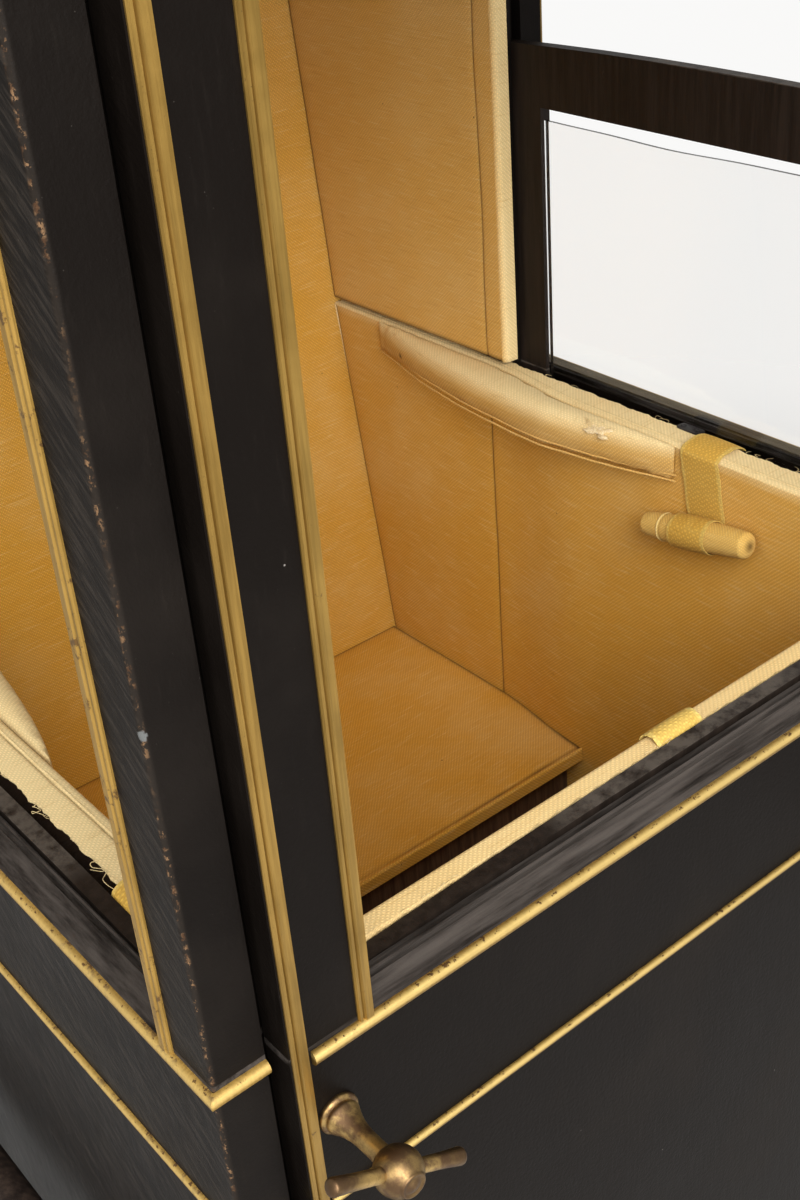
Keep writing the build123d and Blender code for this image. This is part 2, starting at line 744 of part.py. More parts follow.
def toggle_in_loop(plane, turn, tilt):
    """A barrel-shaped toggle through the loop that strap_over_edge makes from the same values."""
    hanging = plane.rotated((-tilt, 0, 0))
    sections = []
    for distance, radius in (
        (-TOGGLE_LENGTH / 2, TOGGLE_END_RADIUS),
        (-TOGGLE_BELLY / 2, TOGGLE_RADIUS),
        (TOGGLE_BELLY / 2, TOGGLE_RADIUS),
        (TOGGLE_LENGTH / 2, TOGGLE_END_RADIUS),
    ):
        with BuildSketch(hanging.offset(distance)) as section:
            with Locations((loop_centre(turn), -strap_drop)):
                toggle_section(radius)
        sections.append(section.sketch)
    loft(sections, ruled=True)


side_straps = [
    Plane((side * HALF, behind_front(distance), SILL_TOP), x_dir=(-side, 0, 0), z_dir=(0, side, 0))
    for side, distance in ((-1, LEFT_STRAP_FROM_FRONT), (1, RIGHT_STRAP_FROM_FRONT))
]
for strap_plane, hand in zip(side_straps, ("left", "right")):
    with BuildPart() as strap:
        strap_over_edge(strap_plane, OUTER_SKIN + SASH_POCKET + FIT, SWELLED_FACE, STRAP_TILT)
    save(strap.part, f"strap_{hand}")

with BuildPart() as side_toggles:
    for strap_plane in side_straps:
        toggle_in_loop(strap_plane, SWELLED_FACE, STRAP_TILT)
save(side_toggles.part, "side_toggles")

# Gilt mouldings of the cabin: waist bead, fine bead below it, low bead and window bead
bead_heights = (
    (WAIST_HEIGHT, BEAD_RADIUS),
    (WAIST_HEIGHT - FINE_BEAD_BELOW_WAIST, FINE_BEAD_RADIUS),
    (LOW_BEAD, FINE_BEAD_RADIUS),
)
for side, hand in ((-1, "left"), (1, "right")):
    with BuildPart() as gilt:
        for height, radius in bead_heights:
            corner_bead(side, height, radius)
        for end, edge in ((-1, WINDOW_FRONT), (1, WINDOW_REAR)):
            foot = (side * HALF, edge + end * EDGE_MOULDING / 2, WAIST_HEIGHT)
            upright = Plane(foot, x_dir=(0, -side, 0), z_dir=(0, 0, 1))
            reeded_strip(upright, -side * end, WINDOW_HEIGHT + EDGE_MOULDING)
        head_start = WINDOW_FRONT if side > 0 else WINDOW_REAR
        head = Plane(
            (side * HALF, head_start, WINDOW_HEAD + EDGE_MOULDING / 2),
            x_dir=(0, 0, 1),
            z_dir=(0, side, 0),
        )
        reeded_strip(head, 1, WINDOW_LENGTH)
    save(gilt.part, f"gilt_{hand}")

with BuildPart() as gilt_back:
    for height, radius in bead_heights:
        lean = BACK_LEAN_BELOW_WAIST if height < WAIST_HEIGHT else BACK_LEAN_ABOVE_WAIST
        back_plane = Plane((HALF, back_line(height), height), x_dir=(0, lean, 1), z_dir=(-1, 0, 0))
        half_round(back_plane, radius, WIDTH)
save(gilt_back.part, "gilt_back")

# Poles and the iron brackets that carry them
pole_x = HALF + POLE_STAND_OFF
half_pole = POLE_LENGTH / 2
for side, hand in ((-1, "left"), (1, "right")):
    with BuildPart() as pole:
        with BuildSketch(Plane.XY) as half_section:
            with BuildLine():
                Polyline(
                    (pole_x, -half_pole),
                    (pole_x + GRIP_RADIUS - GRIP_END_CHAMFER, -half_pole),
                    (pole_x + GRIP_RADIUS, -half_pole + GRIP_END_CHAMFER),
                    (pole_x + GRIP_RADIUS, -half_pole + GRIP_LENGTH),
                    (pole_x + POLE_RADIUS, -half_pole + GRIP_LENGTH + GRIP_TAPER),
                    (pole_x + POLE_RADIUS, half_pole - GRIP_LENGTH - GRIP_TAPER),
                    (pole_x + GRIP_RADIUS, half_pole - GRIP_LENGTH),
                    (pole_x + GRIP_RADIUS, half_pole - GRIP_END_CHAMFER),
                    (pole_x + GRIP_RADIUS - GRIP_END_CHAMFER, half_pole),
                    (pole_x, half_pole),
                    close=True,
                )
            make_face()
        revolve(half_section.sketch, axis=Axis((pole_x, 0, 0), (0, 1, 0)))
    placed = Pos(0, 0, POLE_HEIGHT) * pole.part
    save(placed if side > 0 else mirror(placed, about=Plane.YZ), f"pole_{hand}")

bracket_bore = POLE_RADIUS + BRACKET_CLEARANCE
bracket_outer = bracket_bore + BRACKET_STRAP
for side, hand in ((-1, "left"), (1, "right")):
    with BuildPart() as brackets:
        for number in range(2):
            middle = behind_front(BRACKET_FROM_FRONT + number * BRACKET_SPACING)
            plane = Plane(
                (side * HALF, middle - side * BRACKET_WIDTH / 2, POLE_HEIGHT),
                x_dir=(-side, 0, 0),
                z_dir=(0, side, 0),
            )
            with BuildSketch(plane) as face:
                with Locations((-POLE_STAND_OFF, 0)):
                    Circle(bracket_outer)
                with Locations((-POLE_STAND_OFF / 2, 0)):
                    Rectangle(POLE_STAND_OFF, 2 * bracket_outer)
                with Locations((-BRACKET_PLATE / 2, 0)):
                    Rectangle(BRACKET_PLATE, BRACKET_PLATE_HEIGHT)
                with Locations((-POLE_STAND_OFF, 0)):
                    Circle(bracket_bore, mode=Mode.SUBTRACT)
            extrude(face.sketch, amount=BRACKET_WIDTH)
    save(brackets.part, f"brackets_{hand}")

# Door: framed leaf, panel, lining, sash, strap, mouldings and handle
pocket_front = DOOR_FACE + DOOR_SKIN
pocket_rear = pocket_front + SASH_POCKET
door_inner_face = pocket_rear + DOOR_LINING
leaf_rear = DOOR_FACE + DOOR_LEAF
lip_rear = pocket_rear + INNER_LIP
opening = DOOR_OPENING_HALF
inner_half = DOOR_INNER_HALF
with BuildPart() as door_frame:
    block((-DOOR_HALF, DOOR_HALF), (DOOR_FACE, leaf_rear), (DOOR_BOTTOM, DOOR_TOP))
    block(
        (-opening, opening),
        (DOOR_FACE, leaf_rear),
        (DOOR_BOTTOM + DOOR_BOTTOM_RAIL, WINDOW_HEAD),
        Mode.SUBTRACT,
    )
    prism_x(sill_outline(lambda depth: DOOR_FACE + depth, DOOR_SKIN), -opening, opening)
    for side in (-1, 1):
        prism_z(
            [
                (side * opening, leaf_rear),
                (side * inner_half, leaf_rear),
                (side * inner_half, lip_rear),
                (side * opening, lip_rear),
                (side * opening, pocket_rear),
                (side * (opening + SASH_OVERLAP), pocket_rear),
                (side * (opening + SASH_OVERLAP), pocket_front),
                (side * opening, pocket_front),
            ],
            DOOR_BOTTOM,
            DOOR_TOP,
        )
    for low, high in ((DOOR_BOTTOM, POCKET_FLOOR), (WINDOW_HEAD, DOOR_TOP)):
        block((-inner_half, inner_half), (leaf_rear, lip_rear), (low, high))
    block(
        (-opening - SASH_OVERLAP, opening + SASH_OVERLAP),
        (pocket_front, pocket_rear),
        (WINDOW_HEAD, WINDOW_HEAD + SASH_OVERLAP),
        Mode.SUBTRACT,
    )
save(door_frame.part, "door_frame")

with BuildPart() as door_panel:
    block(
        (-opening, opening),
        (DOOR_FACE, DOOR_FACE + PANEL_THICKNESS),
        (DOOR_BOTTOM + DOOR_BOTTOM_RAIL, RAIL_BOTTOM),
    )
save(door_panel.part, "door_panel")

with BuildPart() as door_lining:
    block(
        (-inner_half, inner_half),
        (lip_rear + FIT, door_inner_face),
        (DOOR_BOTTOM, SILL_TOP - FIT),
    )
    block(
        (-opening + FIT, opening - FIT),
        (pocket_rear + FIT, lip_rear + FIT),
        (POCKET_FLOOR + FIT, SILL_TOP - FIT),
    )
save(door_lining.part, "door_lining")

door_sash_half = opening + SASH_OVERLAP - FIT
door_sash_top = WAIST_HEIGHT + SASH_LOWERED
sash_plane = Plane(
    (0, pocket_front + sash_inset + SASH_THICKNESS, 0),
    x_dir=(1, 0, 0),
    z_dir=(0, -1, 0),
)
sash_size = (door_sash_half, door_sash_top, door_sash_top - SASH_HEIGHT, SASH_STILE, SASH_RAIL)
with BuildPart() as door_sash:
    arched_frame(sash_plane, *sash_size, SASH_THICKNESS)
save(door_sash.part, "door_sash")
with BuildPart() as door_glass:
    sash_glass(sash_plane.offset(glass_inset), *sash_size, GLASS_THICKNESS)
save(door_glass.part, "door_glass")

strap_plane = Plane((DOOR_STRAP_OFFSET, DOOR_FACE, SILL_TOP), x_dir=(0, 1, 0), z_dir=(1, 0, 0))
with BuildPart() as door_strap:
    strap_over_edge(strap_plane, DOOR_SKIN + SASH_POCKET + FIT, door_inner_face - DOOR_FACE, 0)
save(door_strap.part, "door_strap")
with BuildPart() as door_toggle:
    toggle_in_loop(strap_plane, door_inner_face - DOOR_FACE, 0)
save(door_toggle.part, "door_toggle")

with BuildPart() as door_gilt:
    edge_x = DOOR_HALF - EDGE_SET_BACK - EDGE_MOULDING / 2
    window_x = opening + EDGE_MOULDING / 2
    for x, low, high in (
        (edge_x, DOOR_BOTTOM + EDGE_SET_BACK, DOOR_TOP - EDGE_SET_BACK),
        (window_x, WAIST_HEIGHT, WINDOW_HEAD + EDGE_MOULDING),
    ):
        for side in (-1, 1):
            upright = Plane((side * x, DOOR_FACE, low), x_dir=(-1, 0, 0), z_dir=(0, 0, 1))
            reeded_strip(upright, -side, high - low)
    for x, height, narrow_side in (
        (edge_x, DOOR_TOP - EDGE_SET_BACK - EDGE_MOULDING / 2, 1),
        (edge_x, DOOR_BOTTOM + EDGE_SET_BACK + EDGE_MOULDING / 2, -1),
        (window_x, WINDOW_HEAD + EDGE_MOULDING / 2, 1),
    ):
        half = x - EDGE_MOULDING / 2
        level = Plane((-half, DOOR_FACE, height), x_dir=(0, 0, 1), z_dir=(1, 0, 0))
        reeded_strip(level, narrow_side, 2 * half)
    for height, radius in bead_heights:
        half = DOOR_HALF - DOOR_BEAD_INSET
        level = Plane((-half, DOOR_FACE, height), x_dir=(0, 0, 1), z_dir=(1, 0, 0))
        half_round(level, radius, 2 * half)
save(door_gilt.part, "door_gilt")

handle_x = -DOOR_HALF + HANDLE_FROM_EDGE
handle_z = WAIST_HEIGHT - HANDLE_BELOW_WAIST
handle_plane = Plane((handle_x, DOOR_FACE, handle_z), x_dir=(1, 0, 0), z_dir=(0, -1, 0))
bar_plane = Plane(
    handle_plane.offset(HANDLE_REACH).origin,
    x_dir=(0, 1, 0),
    z_dir=Vector(1, 0, 0).rotate(Axis.Y, HANDLE_TILT),
)
hub_start = HANDLE_REACH - HANDLE_HUB_RIM / 2
hub_end = HANDLE_REACH + HANDLE_HUB_RIM / 2
boss_face = hub_end + HANDLE_HUB_SLOPE + HANDLE_BOSS_PROUD
with BuildPart() as door_handle:
    with BuildSketch(Plane(handle_plane.origin, x_dir=(1, 0, 0), z_dir=(0, 0, 1))) as half_section:
        with BuildLine():
            Polyline(
                (0, 0),
                (ROSETTE_RADIUS, 0),
                (ROSETTE_RADIUS, -ROSETTE_THICKNESS),
                (TRUMPET_RADIUS, -ROSETTE_THICKNESS),
                (HANDLE_STEM_RADIUS, -ROSETTE_THICKNESS - TRUMPET_LENGTH),
                (HANDLE_STEM_RADIUS, HANDLE_HUB_SLOPE - hub_start),
                (HANDLE_HUB_RADIUS, -hub_start),
                (HANDLE_HUB_RADIUS, -hub_end),
                (HANDLE_BOSS_RADIUS, -hub_end - HANDLE_HUB_SLOPE),
                (HANDLE_BOSS_RADIUS, -boss_face),
                (0, -boss_face),
                close=True,
            )
        make_face()
    revolve(half_section.sketch, axis=Axis(handle_plane.origin, handle_plane.z_dir))
    with BuildSketch(bar_plane) as bar:
        Circle(HANDLE_BAR_RADIUS)
    extrude(bar.sketch, amount=HANDLE_BAR_LENGTH / 2, both=True)
save(door_handle.part, "door_handle")

# Hinges: the frame's leaf has the end knuckles and the pin, the moving leaf the middle knuckle
knuckle = HINGE_LENGTH / 3


def hinge_leaf(plane, fixed, leaf_offset):
    """One leaf of a butt hinge. The plane's origin is the pin's lower end and its normal the pin's
    axis; the leaves lie along the plane's y axis, at an offset from the pin along its x axis."""
    spans = ((0, knuckle), (2 * knuckle, 3 * knuckle)) if fixed else ((knuckle, 2 * knuckle),)
    gap = 0 if fixed else KNUCKLE_GAP
    leaf_x = leaf_offset + (HINGE_LEAF_THICKNESS / 2) * (1 if leaf_offset > 0 else -1)
    plate_start = KNUCKLE_RADIUS + LEAF_CLEARANCE
    plate_end = KNUCKLE_RADIUS + (HINGE_FRAME_LEAF_WIDTH if fixed else HINGE_LEAF_WIDTH)
    web_end = plate_start + HINGE_LEAF_THICKNESS
    with BuildSketch(plane) as plate:
        with Locations((leaf_x, (plate_start + plate_end) / 2)):
            Rectangle(HINGE_LEAF_THICKNESS, plate_end - plate_start)
    extrude(plate.sketch, amount=HINGE_LENGTH)
    for low, high in spans:
        with BuildSketch(plane.offset(low + gap)) as section:
            Circle(KNUCKLE_RADIUS)
            with Locations((leaf_x, web_end / 2)):
                Rectangle(HINGE_LEAF_THICKNESS, web_end)
            if not fixed:
                Circle(HINGE_PIN_RADIUS + FIT, mode=Mode.SUBTRACT)
        extrude(section.sketch, amount=high - low - 2 * gap)
    if fixed:
        with BuildSketch(plane) as pin:
            Circle(HINGE_PIN_RADIUS)
        extrude(pin.sketch, amount=HINGE_LENGTH)


roof_bottom = FRAME_TOP + ROOF_GAP
roof_rear = back_line(FRAME_TOP)
pin_out = KNUCKLE_RADIUS - PIN_BEHIND_KNUCKLE_FACE
door_leaf_offset = DOOR_GAP / 2 - HINGE_LEAF_THICKNESS
roof_leaf_offset = ROOF_GAP / 2 - HINGE_LEAF_THICKNESS
door_hinge_heights = (
    LOW_BEAD + DOOR_HINGE_FROM_EDGE,
    WAIST_HEIGHT - DOOR_HINGE_FROM_EDGE - HINGE_LENGTH,
    DOOR_TOP - DOOR_HINGE_FROM_EDGE - HINGE_LENGTH,
)
door_pins = [
    Plane((DOOR_HALF + DOOR_GAP / 2, DOOR_FACE - pin_out, height), x_dir=(1, 0, 0), z_dir=(0, 0, 1))
    for height in door_hinge_heights
]
roof_pins = [
    Plane(
        (x - HINGE_LENGTH / 2, roof_rear + pin_out, FRAME_TOP + ROOF_GAP / 2),
        x_dir=(0, 0, 1),
        z_dir=(1, 0, 0),
    )
    for x in (-ROOF_HINGE_SPREAD / 2, ROOF_HINGE_SPREAD / 2)
]

with BuildPart() as hinges_frame:
    for pin_plane in door_pins:
        hinge_leaf(pin_plane, True, door_leaf_offset)
    for pin_plane in roof_pins:
        hinge_leaf(pin_plane, True, -roof_leaf_offset)
save(hinges_frame.part, "hinges_frame")

with BuildPart() as door_hinges:
    for pin_plane in door_pins:
        hinge_leaf(pin_plane, False, -door_leaf_offset)
save(door_hinges.part, "door_hinges")

with BuildPart() as roof_hinges:
    for pin_plane in roof_pins:
        hinge_leaf(pin_plane, False, roof_leaf_offset)
save(roof_hinges.part, "roof_hinges")

# Roof: a flat rim, a shell vaulted both ways, its headlining, and the gilt bead with four finials
rim_half = HALF + ROOF_OVERHANG
rim_front = FRONT - ROOF_OVERHANG
rim_top = roof_bottom + ROOF_RIM_HEIGHT
with BuildPart() as roof_rim:
    block((-rim_half, rim_half), (rim_front, roof_rear), (roof_bottom, rim_top))
    block(
        (-rim_half + ROOF_RIM_WIDTH, rim_half - ROOF_RIM_WIDTH),
        (rim_front + ROOF_RIM_WIDTH, roof_rear - ROOF_RIM_WIDTH),
        (roof_bottom, rim_top),
        Mode.SUBTRACT,
    )
save(roof_rim.part, "roof_rim")


def arch(plane, half_span, rise, shrink, length, mode):
    """A round-topped prism over a span, shrunk evenly towards the centre of its arc."""
    radius = (half_span**2 + rise**2) / (2 * rise)
    below = radius - rise
    inner = radius - shrink
    half_chord = sqrt(inner**2 - below**2)
    with BuildSketch(plane) as face:
        with BuildLine():
            ThreePointArc((-half_chord, 0), (0, inner - below), (half_chord, 0))
            Line((half_chord, 0), (-half_chord, 0))
        make_face()
    extrude(face.sketch, amount=length, both=True, mode=mode)


def vault(shrink):
    """The solid under the roof's two crossing arches, shrunk by a distance all over."""
    depth = roof_rear - rim_front
    middle = (roof_rear + rim_front) / 2
    across_plane = Plane((0, middle, rim_top), x_dir=(1, 0, 0), z_dir=(0, -1, 0))
    along_plane = Plane((0, middle, rim_top), x_dir=(0, 1, 0), z_dir=(1, 0, 0))
    with BuildPart() as solid:
        arch(across_plane, rim_half - ROOF_LEDGE, ROOF_RISE_ACROSS, shrink, depth, Mode.ADD)
        arch(along_plane, depth / 2 - ROOF_LEDGE, ROOF_RISE_ALONG, shrink, WIDTH, Mode.INTERSECT)
    return solid.part


with BuildPart() as roof_shell:
    add(vault(0))
    add(vault(ROOF_SHELL), mode=Mode.SUBTRACT)
save(roof_shell.part, "roof_shell")

with BuildPart() as headlining:
    add(vault(ROOF_SHELL + FIT))
    add(vault(ROOF_SHELL + FIT + HEADLINING), mode=Mode.SUBTRACT)
save(headlining.part, "roof_headlining")

with BuildPart() as roof_trim:
    bead_height = roof_bottom + ROOF_RIM_HEIGHT / 2
    for side in (-1, 1):
        side_plane = Plane(
            (side * rim_half, roof_rear if side < 0 else rim_front - BEAD_RADIUS, bead_height),
            x_dir=(0, 0, 1),
            z_dir=(0, side, 0),
        )
        half_round(side_plane, BEAD_RADIUS, roof_rear - rim_front + BEAD_RADIUS)
        for y in (rim_front + ROOF_LEDGE / 2, roof_rear - ROOF_LEDGE / 2):
            finial_x = side * (rim_half - ROOF_LEDGE / 2)
            finial_plane = Plane((finial_x, y, rim_top), x_dir=(1, 0, 0), z_dir=(0, -1, 0))
            with BuildSketch(finial_plane) as half_finial:
                with BuildLine():
                    Polyline(
                        (0, 0),
                        (FINIAL_RADIUS, 0),
                        (FINIAL_NECK_RADIUS, FINIAL_NECK_HEIGHT),
                        (FINIAL_BODY_RADIUS, FINIAL_BODY_HEIGHT),
                        (0, FINIAL_HEIGHT),
                        close=True,
                    )
                make_face()
            revolve(half_finial.sketch, axis=Axis((finial_x, y, 0), (0, 0, 1)))
    front_plane = Plane((-rim_half, rim_front, bead_height), x_dir=(0, 0, 1), z_dir=(1, 0, 0))
    half_round(front_plane, BEAD_RADIUS, 2 * rim_half)
save(roof_trim.part, "roof_trim")
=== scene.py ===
"""Dresses a sedan chair: woven linings, stuffed pads, straps, gilding, japanned leather, brass and glass.

Metres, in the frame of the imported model: +Z up, +Y from the front door to the back, +X to the right.
"""

import json
import math

import bpy
import numpy as np
from bpy.props import FloatProperty, FloatVectorProperty, PointerProperty
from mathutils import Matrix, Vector


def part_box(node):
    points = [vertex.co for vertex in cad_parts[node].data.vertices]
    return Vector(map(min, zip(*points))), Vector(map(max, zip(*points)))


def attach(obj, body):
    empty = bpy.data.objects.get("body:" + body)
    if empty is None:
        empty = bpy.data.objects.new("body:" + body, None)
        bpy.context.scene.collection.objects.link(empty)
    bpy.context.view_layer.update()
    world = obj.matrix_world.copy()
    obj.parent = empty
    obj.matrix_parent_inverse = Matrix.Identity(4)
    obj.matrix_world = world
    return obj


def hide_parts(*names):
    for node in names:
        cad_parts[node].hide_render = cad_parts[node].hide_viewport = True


bl_info = {
    "name": "Sedan chair finishes",
    "version": (1, 0, 0),
    "blender": (4, 5, 0),
    "location": "3D View > Sidebar > Sedan chair",
    "description": "Linings, pads, straps, gilding, leather, brass, glass and stage of a sedan chair",
    "category": "Object",
}

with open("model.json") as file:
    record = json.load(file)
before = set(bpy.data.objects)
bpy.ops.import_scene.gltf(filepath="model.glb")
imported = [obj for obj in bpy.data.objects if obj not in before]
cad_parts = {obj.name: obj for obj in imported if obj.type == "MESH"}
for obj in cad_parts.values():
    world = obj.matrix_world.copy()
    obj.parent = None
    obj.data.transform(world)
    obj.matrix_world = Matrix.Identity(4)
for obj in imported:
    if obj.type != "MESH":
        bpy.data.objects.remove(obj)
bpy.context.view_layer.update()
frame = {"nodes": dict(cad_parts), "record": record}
NODES = frame["nodes"]
MM = 0.001


def corners(node):
    """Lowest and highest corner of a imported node, as rows."""
    return np.array([list(corner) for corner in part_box(node)])


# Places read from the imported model
HALF = corners("base_frame")[1][0]
FRONT = corners("post_front_left")[0][1]
BASE_TOP = corners("post_rear_left")[0][2]
WAIST = corners("panel_back_upper")[0][2]
SILL = corners("waist_rail_left")[1][2]
BACK_AT_WAIST = corners("panel_back_lower")[1][1]
HEADER_LOW, HEADER_HIGH = corners("header_back")
LEAN_UP = (HEADER_HIGH[1] - BACK_AT_WAIST) / (HEADER_HIGH[2] - WAIST)
LEAN_DOWN = (BACK_AT_WAIST - corners("base_frame")[1][1]) / (WAIST - corners("base_frame")[0][2])
BACK_WALL = BACK_AT_WAIST + LEAN_UP * (HEADER_LOW[2] - WAIST) - HEADER_LOW[1]
BACK_PANEL = 12 * MM
LINING_NEAR = HALF - corners("lining_lower_right")[1][0]
LINING_SWELLED = HALF - corners("lining_lower_right")[0][0]
LINING_FACE = HALF - corners("quarter_pad_right")[0][0]
LINING_TOP = corners("lining_lower_right")[1][2]
WINDOW_FRONT = corners("header_right")[0][1]
DOOR_FACE = corners("door_panel")[0][1]
FIT = 0.3 * MM

# A side lining's plan: its upright seam, the swell before it, and how far it is cut back beside the door
LINING_SEAM = 138 * MM
SWELL_LENGTH = 130 * MM
DOOR_CUT, DOOR_TAPER = 11 * MM, 22 * MM
WELT_FROM_FACE = 8.5 * MM

# Plan of an arm pad: (distance behind its front end, reach from the lining's straight face)
ARM_NOSE, ARM_SHOULDER, ARM_WIDEST = (0.0, 16 * MM), (56 * MM, 31 * MM), (140 * MM, 46 * MM)
ARM_TAPER, ARM_TAIL = (220 * MM, 43 * MM), (330 * MM, 28 * MM)
STUFFING_GRID, STUFFING_CAP, STUFFING_PRESSURE, STUFFING_FRAMES = 4.5 * MM, 3 * MM, 4.0, 20
TEAR = np.array((284, -38, 797)) * MM
WORM_HOLE = np.array((296, 251, 779)) * MM

# Straps, toggles, the plate at the sash pocket and the door's handle
STRAP_AT = {-1: -275 * MM, 1: -138.5 * MM}
STRAP_WIDTH, STRAP_THICKNESS = 42 * MM, 1.9 * MM
STRAP_LEAN = math.radians(10.5)
TOGGLE_LENGTH, TOGGLE_RADIUS, TOGGLE_DROP = 118 * MM, 13.3 * MM, 66.6 * MM
PLATE_AT = (334.5 * MM, -102 * MM)
HANDLE_HUB, HANDLE_BALL, HANDLE_TILT = 51 * MM, 13.7 * MM, math.radians(29.9)

# The gilt beads' heights and radii, and the distance of the door's upright strips from the middle
BEADS = ((790 * MM, 4.5 * MM), (677 * MM, 3.2 * MM))
DOOR_STRIP = 330.5 * MM
FLECK_HEIGHT = 1014.7 * MM

# Loose threads on each side lining and on the door's, and the lumps and fibres of the tear
SIDE_THREADS, DOOR_THREADS, TEAR_LUMPS, TEAR_FIBRES = 20, 26, 20, 34
THREAD_RADIUS, CURL_RADIUS, FIBRE_RADIUS = 0.22 * MM, 0.35 * MM, 0.25 * MM
PANE_INSET_Y, PANE_INSET_Z = 45 * MM + FIT, 56 * MM + FIT
SMALL = 1e-6
SIDES = ((-1, "left"), (1, "right"))


def back_y(z, inward=0.0):
    """Y of the leaning back at a height, measured inward from its outer face."""
    lean = np.where(np.asarray(z) > WAIST, LEAN_UP, LEAN_DOWN)
    return BACK_AT_WAIST - inward + lean * (np.asarray(z) - WAIST)


def eased(share):
    """A share from 0 to 1 that starts and ends gently."""
    return share**2 * (3 - 2 * share)


def lining_depth(y):
    """Depth of a side lining's face in the wall: straight behind the seam, swelled before it."""
    swell = (LINING_SWELLED - LINING_FACE) * eased(np.clip((LINING_SEAM - y) / SWELL_LENGTH, 0, 1))
    return LINING_FACE + swell - DOOR_CUT * np.clip(1 - (y - WINDOW_FRONT) / DOOR_TAPER, 0, 1)


def waver(t, seed, period):
    """A smooth random line from -1 to 1: three sine waves of halving period, each with its own phase."""
    phases = np.random.default_rng(seed).uniform(0, 2 * np.pi, 3)
    return sum(np.sin(2 * np.pi * t * 2**k / period + p) / 2**k for k, p in enumerate(phases)) / 1.75


def ripple(a, b, seed, period):
    """A smooth random surface from -1 to 1: six plane waves in seeded directions, with seeded phases."""
    rng = np.random.default_rng(seed)
    waves = zip(rng.uniform(0, np.pi, 6), rng.uniform(0, 2 * np.pi, 6), rng.uniform(0.6, 1.7, 6))
    return sum(
        np.sin(2 * np.pi * (np.cos(turn) * a + np.sin(turn) * b) * stretch / period + phase)
        for turn, phase, stretch in waves
    ) / 6


def edge_dip(distance, reach):
    """1 at an edge, falling away with the distance from it."""
    return np.exp(-np.clip(distance, 0, None) / reach)


def padding(cloth, near, reach, depth, a, b, seed, period):
    """How far padded cloth dips: most at its edges, and everywhere by a shallow random ripple."""
    return cloth.puff * edge_dip(near, reach) + depth * (1 + ripple(a, b, seed, period))


def arc_through(a, b, c, count):
    """Points of the circle through three points of a plane, from the first by the second to the third."""
    a, b, c = (np.array(p) for p in (a, b, c))
    centre = np.linalg.solve(2 * np.array([b - a, c - a]), [b @ b - a @ a, c @ c - a @ a])
    angles = np.unwrap([math.atan2(*(p - centre)[::-1]) for p in (a, b, c)])
    t = np.linspace(angles[0], angles[2], count)
    return centre + np.linalg.norm(a - centre) * np.stack([np.cos(t), np.sin(t)], -1)


def grid(x, y, z):
    """Points from three arrays that stretch to one shape."""
    return np.stack(np.broadcast_arrays(x, y, z), -1)


class Surface:
    """A closed surface with its faces outward: points with quads and triangles, how pale each point is (partly
    painted light), how dark it is (seams and marks, and painted shade), and a material's index."""

    def __init__(self, points, quads, tris, fade, seam):
        corner = np.vstack([quads[:, [0, 1, 2]], quads[:, [0, 2, 3]], tris])
        a, b, c = (points[corner[:, k]] - points.mean(0) for k in range(3))
        turn = -1 if np.einsum("ij,ij->i", a, np.cross(b, c)).sum() < 0 else 1
        self.points, self.quads, self.tris = points, quads[:, ::turn], tris[:, ::turn]
        self.fade, self.seam, self.material = fade, seam, 0


def skin(rings, fade=0.0, seam=0.0):
    """A closed skin over rings of points: each ring joins the next, and each end closes on its own middle."""
    n, m = rings.shape[:2]
    here, row = np.arange(m), np.arange(n - 1)[:, None] * m
    ahead = np.roll(here, -1)
    quads = np.stack([row + here, row + ahead, row + ahead + m, row + here + m], -1).reshape(-1, 4)
    first = np.stack([ahead, here, np.full(m, n * m)], -1)
    last = np.stack([here + (n - 1) * m, ahead + (n - 1) * m, np.full(m, n * m + 1)], -1)
    points = np.vstack([rings.reshape(-1, 3), rings[0].mean(0), rings[-1].mean(0)])
    # The pale and dark values of the points, which hold painted light and painted shade as well as seams and
    # marks
    worn = [np.broadcast_to(value, (n, m)) for value in (fade, seam)]
    worn = [np.append(value, [value[0].mean(), value[-1].mean()]) for value in worn]
    return Surface(points, quads, np.vstack([first, last]), *worn)


def slab(top, bottom, fade=0.0, seam=0.0):
    """A closed sheet between two grids of points of the same shape, with its four edges closed."""
    n, m = top.shape[:2]
    index = np.arange(n * m).reshape(n, m)
    upper = np.stack([index[:-1, :-1], index[:-1, 1:], index[1:, 1:], index[1:, :-1]], -1).reshape(-1, 4)
    rim = np.concatenate([index[0, :-1], index[:-1, -1], index[-1, :0:-1], index[:0:-1, 0]])
    ahead = np.roll(rim, -1)
    wall = np.stack([ahead, rim, rim + n * m, ahead + n * m], -1)
    # The pale and dark values of the points, which hold painted light and painted shade as well as seams and
    # marks
    worn = [np.tile(np.broadcast_to(value, (n, m)).ravel(), 2) for value in (fade, seam)]
    points = np.vstack([top.reshape(-1, 3), bottom.reshape(-1, 3)])
    return Surface(points, np.vstack([upper, upper[:, ::-1] + n * m, wall]), np.zeros((0, 3), int), *worn)


def sweep(path, radius, sides, up=(0, 0, 1), scale=1.0, **worn):
    """A round rod carried along a path; up sets where its sides start, and the scale tapers it."""
    t = np.linspace(0, 2 * np.pi, sides, endpoint=False)
    along = np.gradient(path, axis=0)
    along /= np.linalg.norm(along, axis=1, keepdims=True)
    side = np.cross(along, up)
    side /= np.linalg.norm(side, axis=1, keepdims=True)
    top = np.cross(side, along)
    spoke = np.cos(t)[:, None] * side[:, None] + np.sin(t)[:, None] * top[:, None]
    return skin(path[:, None] + radius * np.broadcast_to(scale, len(path))[:, None, None] * spoke, **worn)


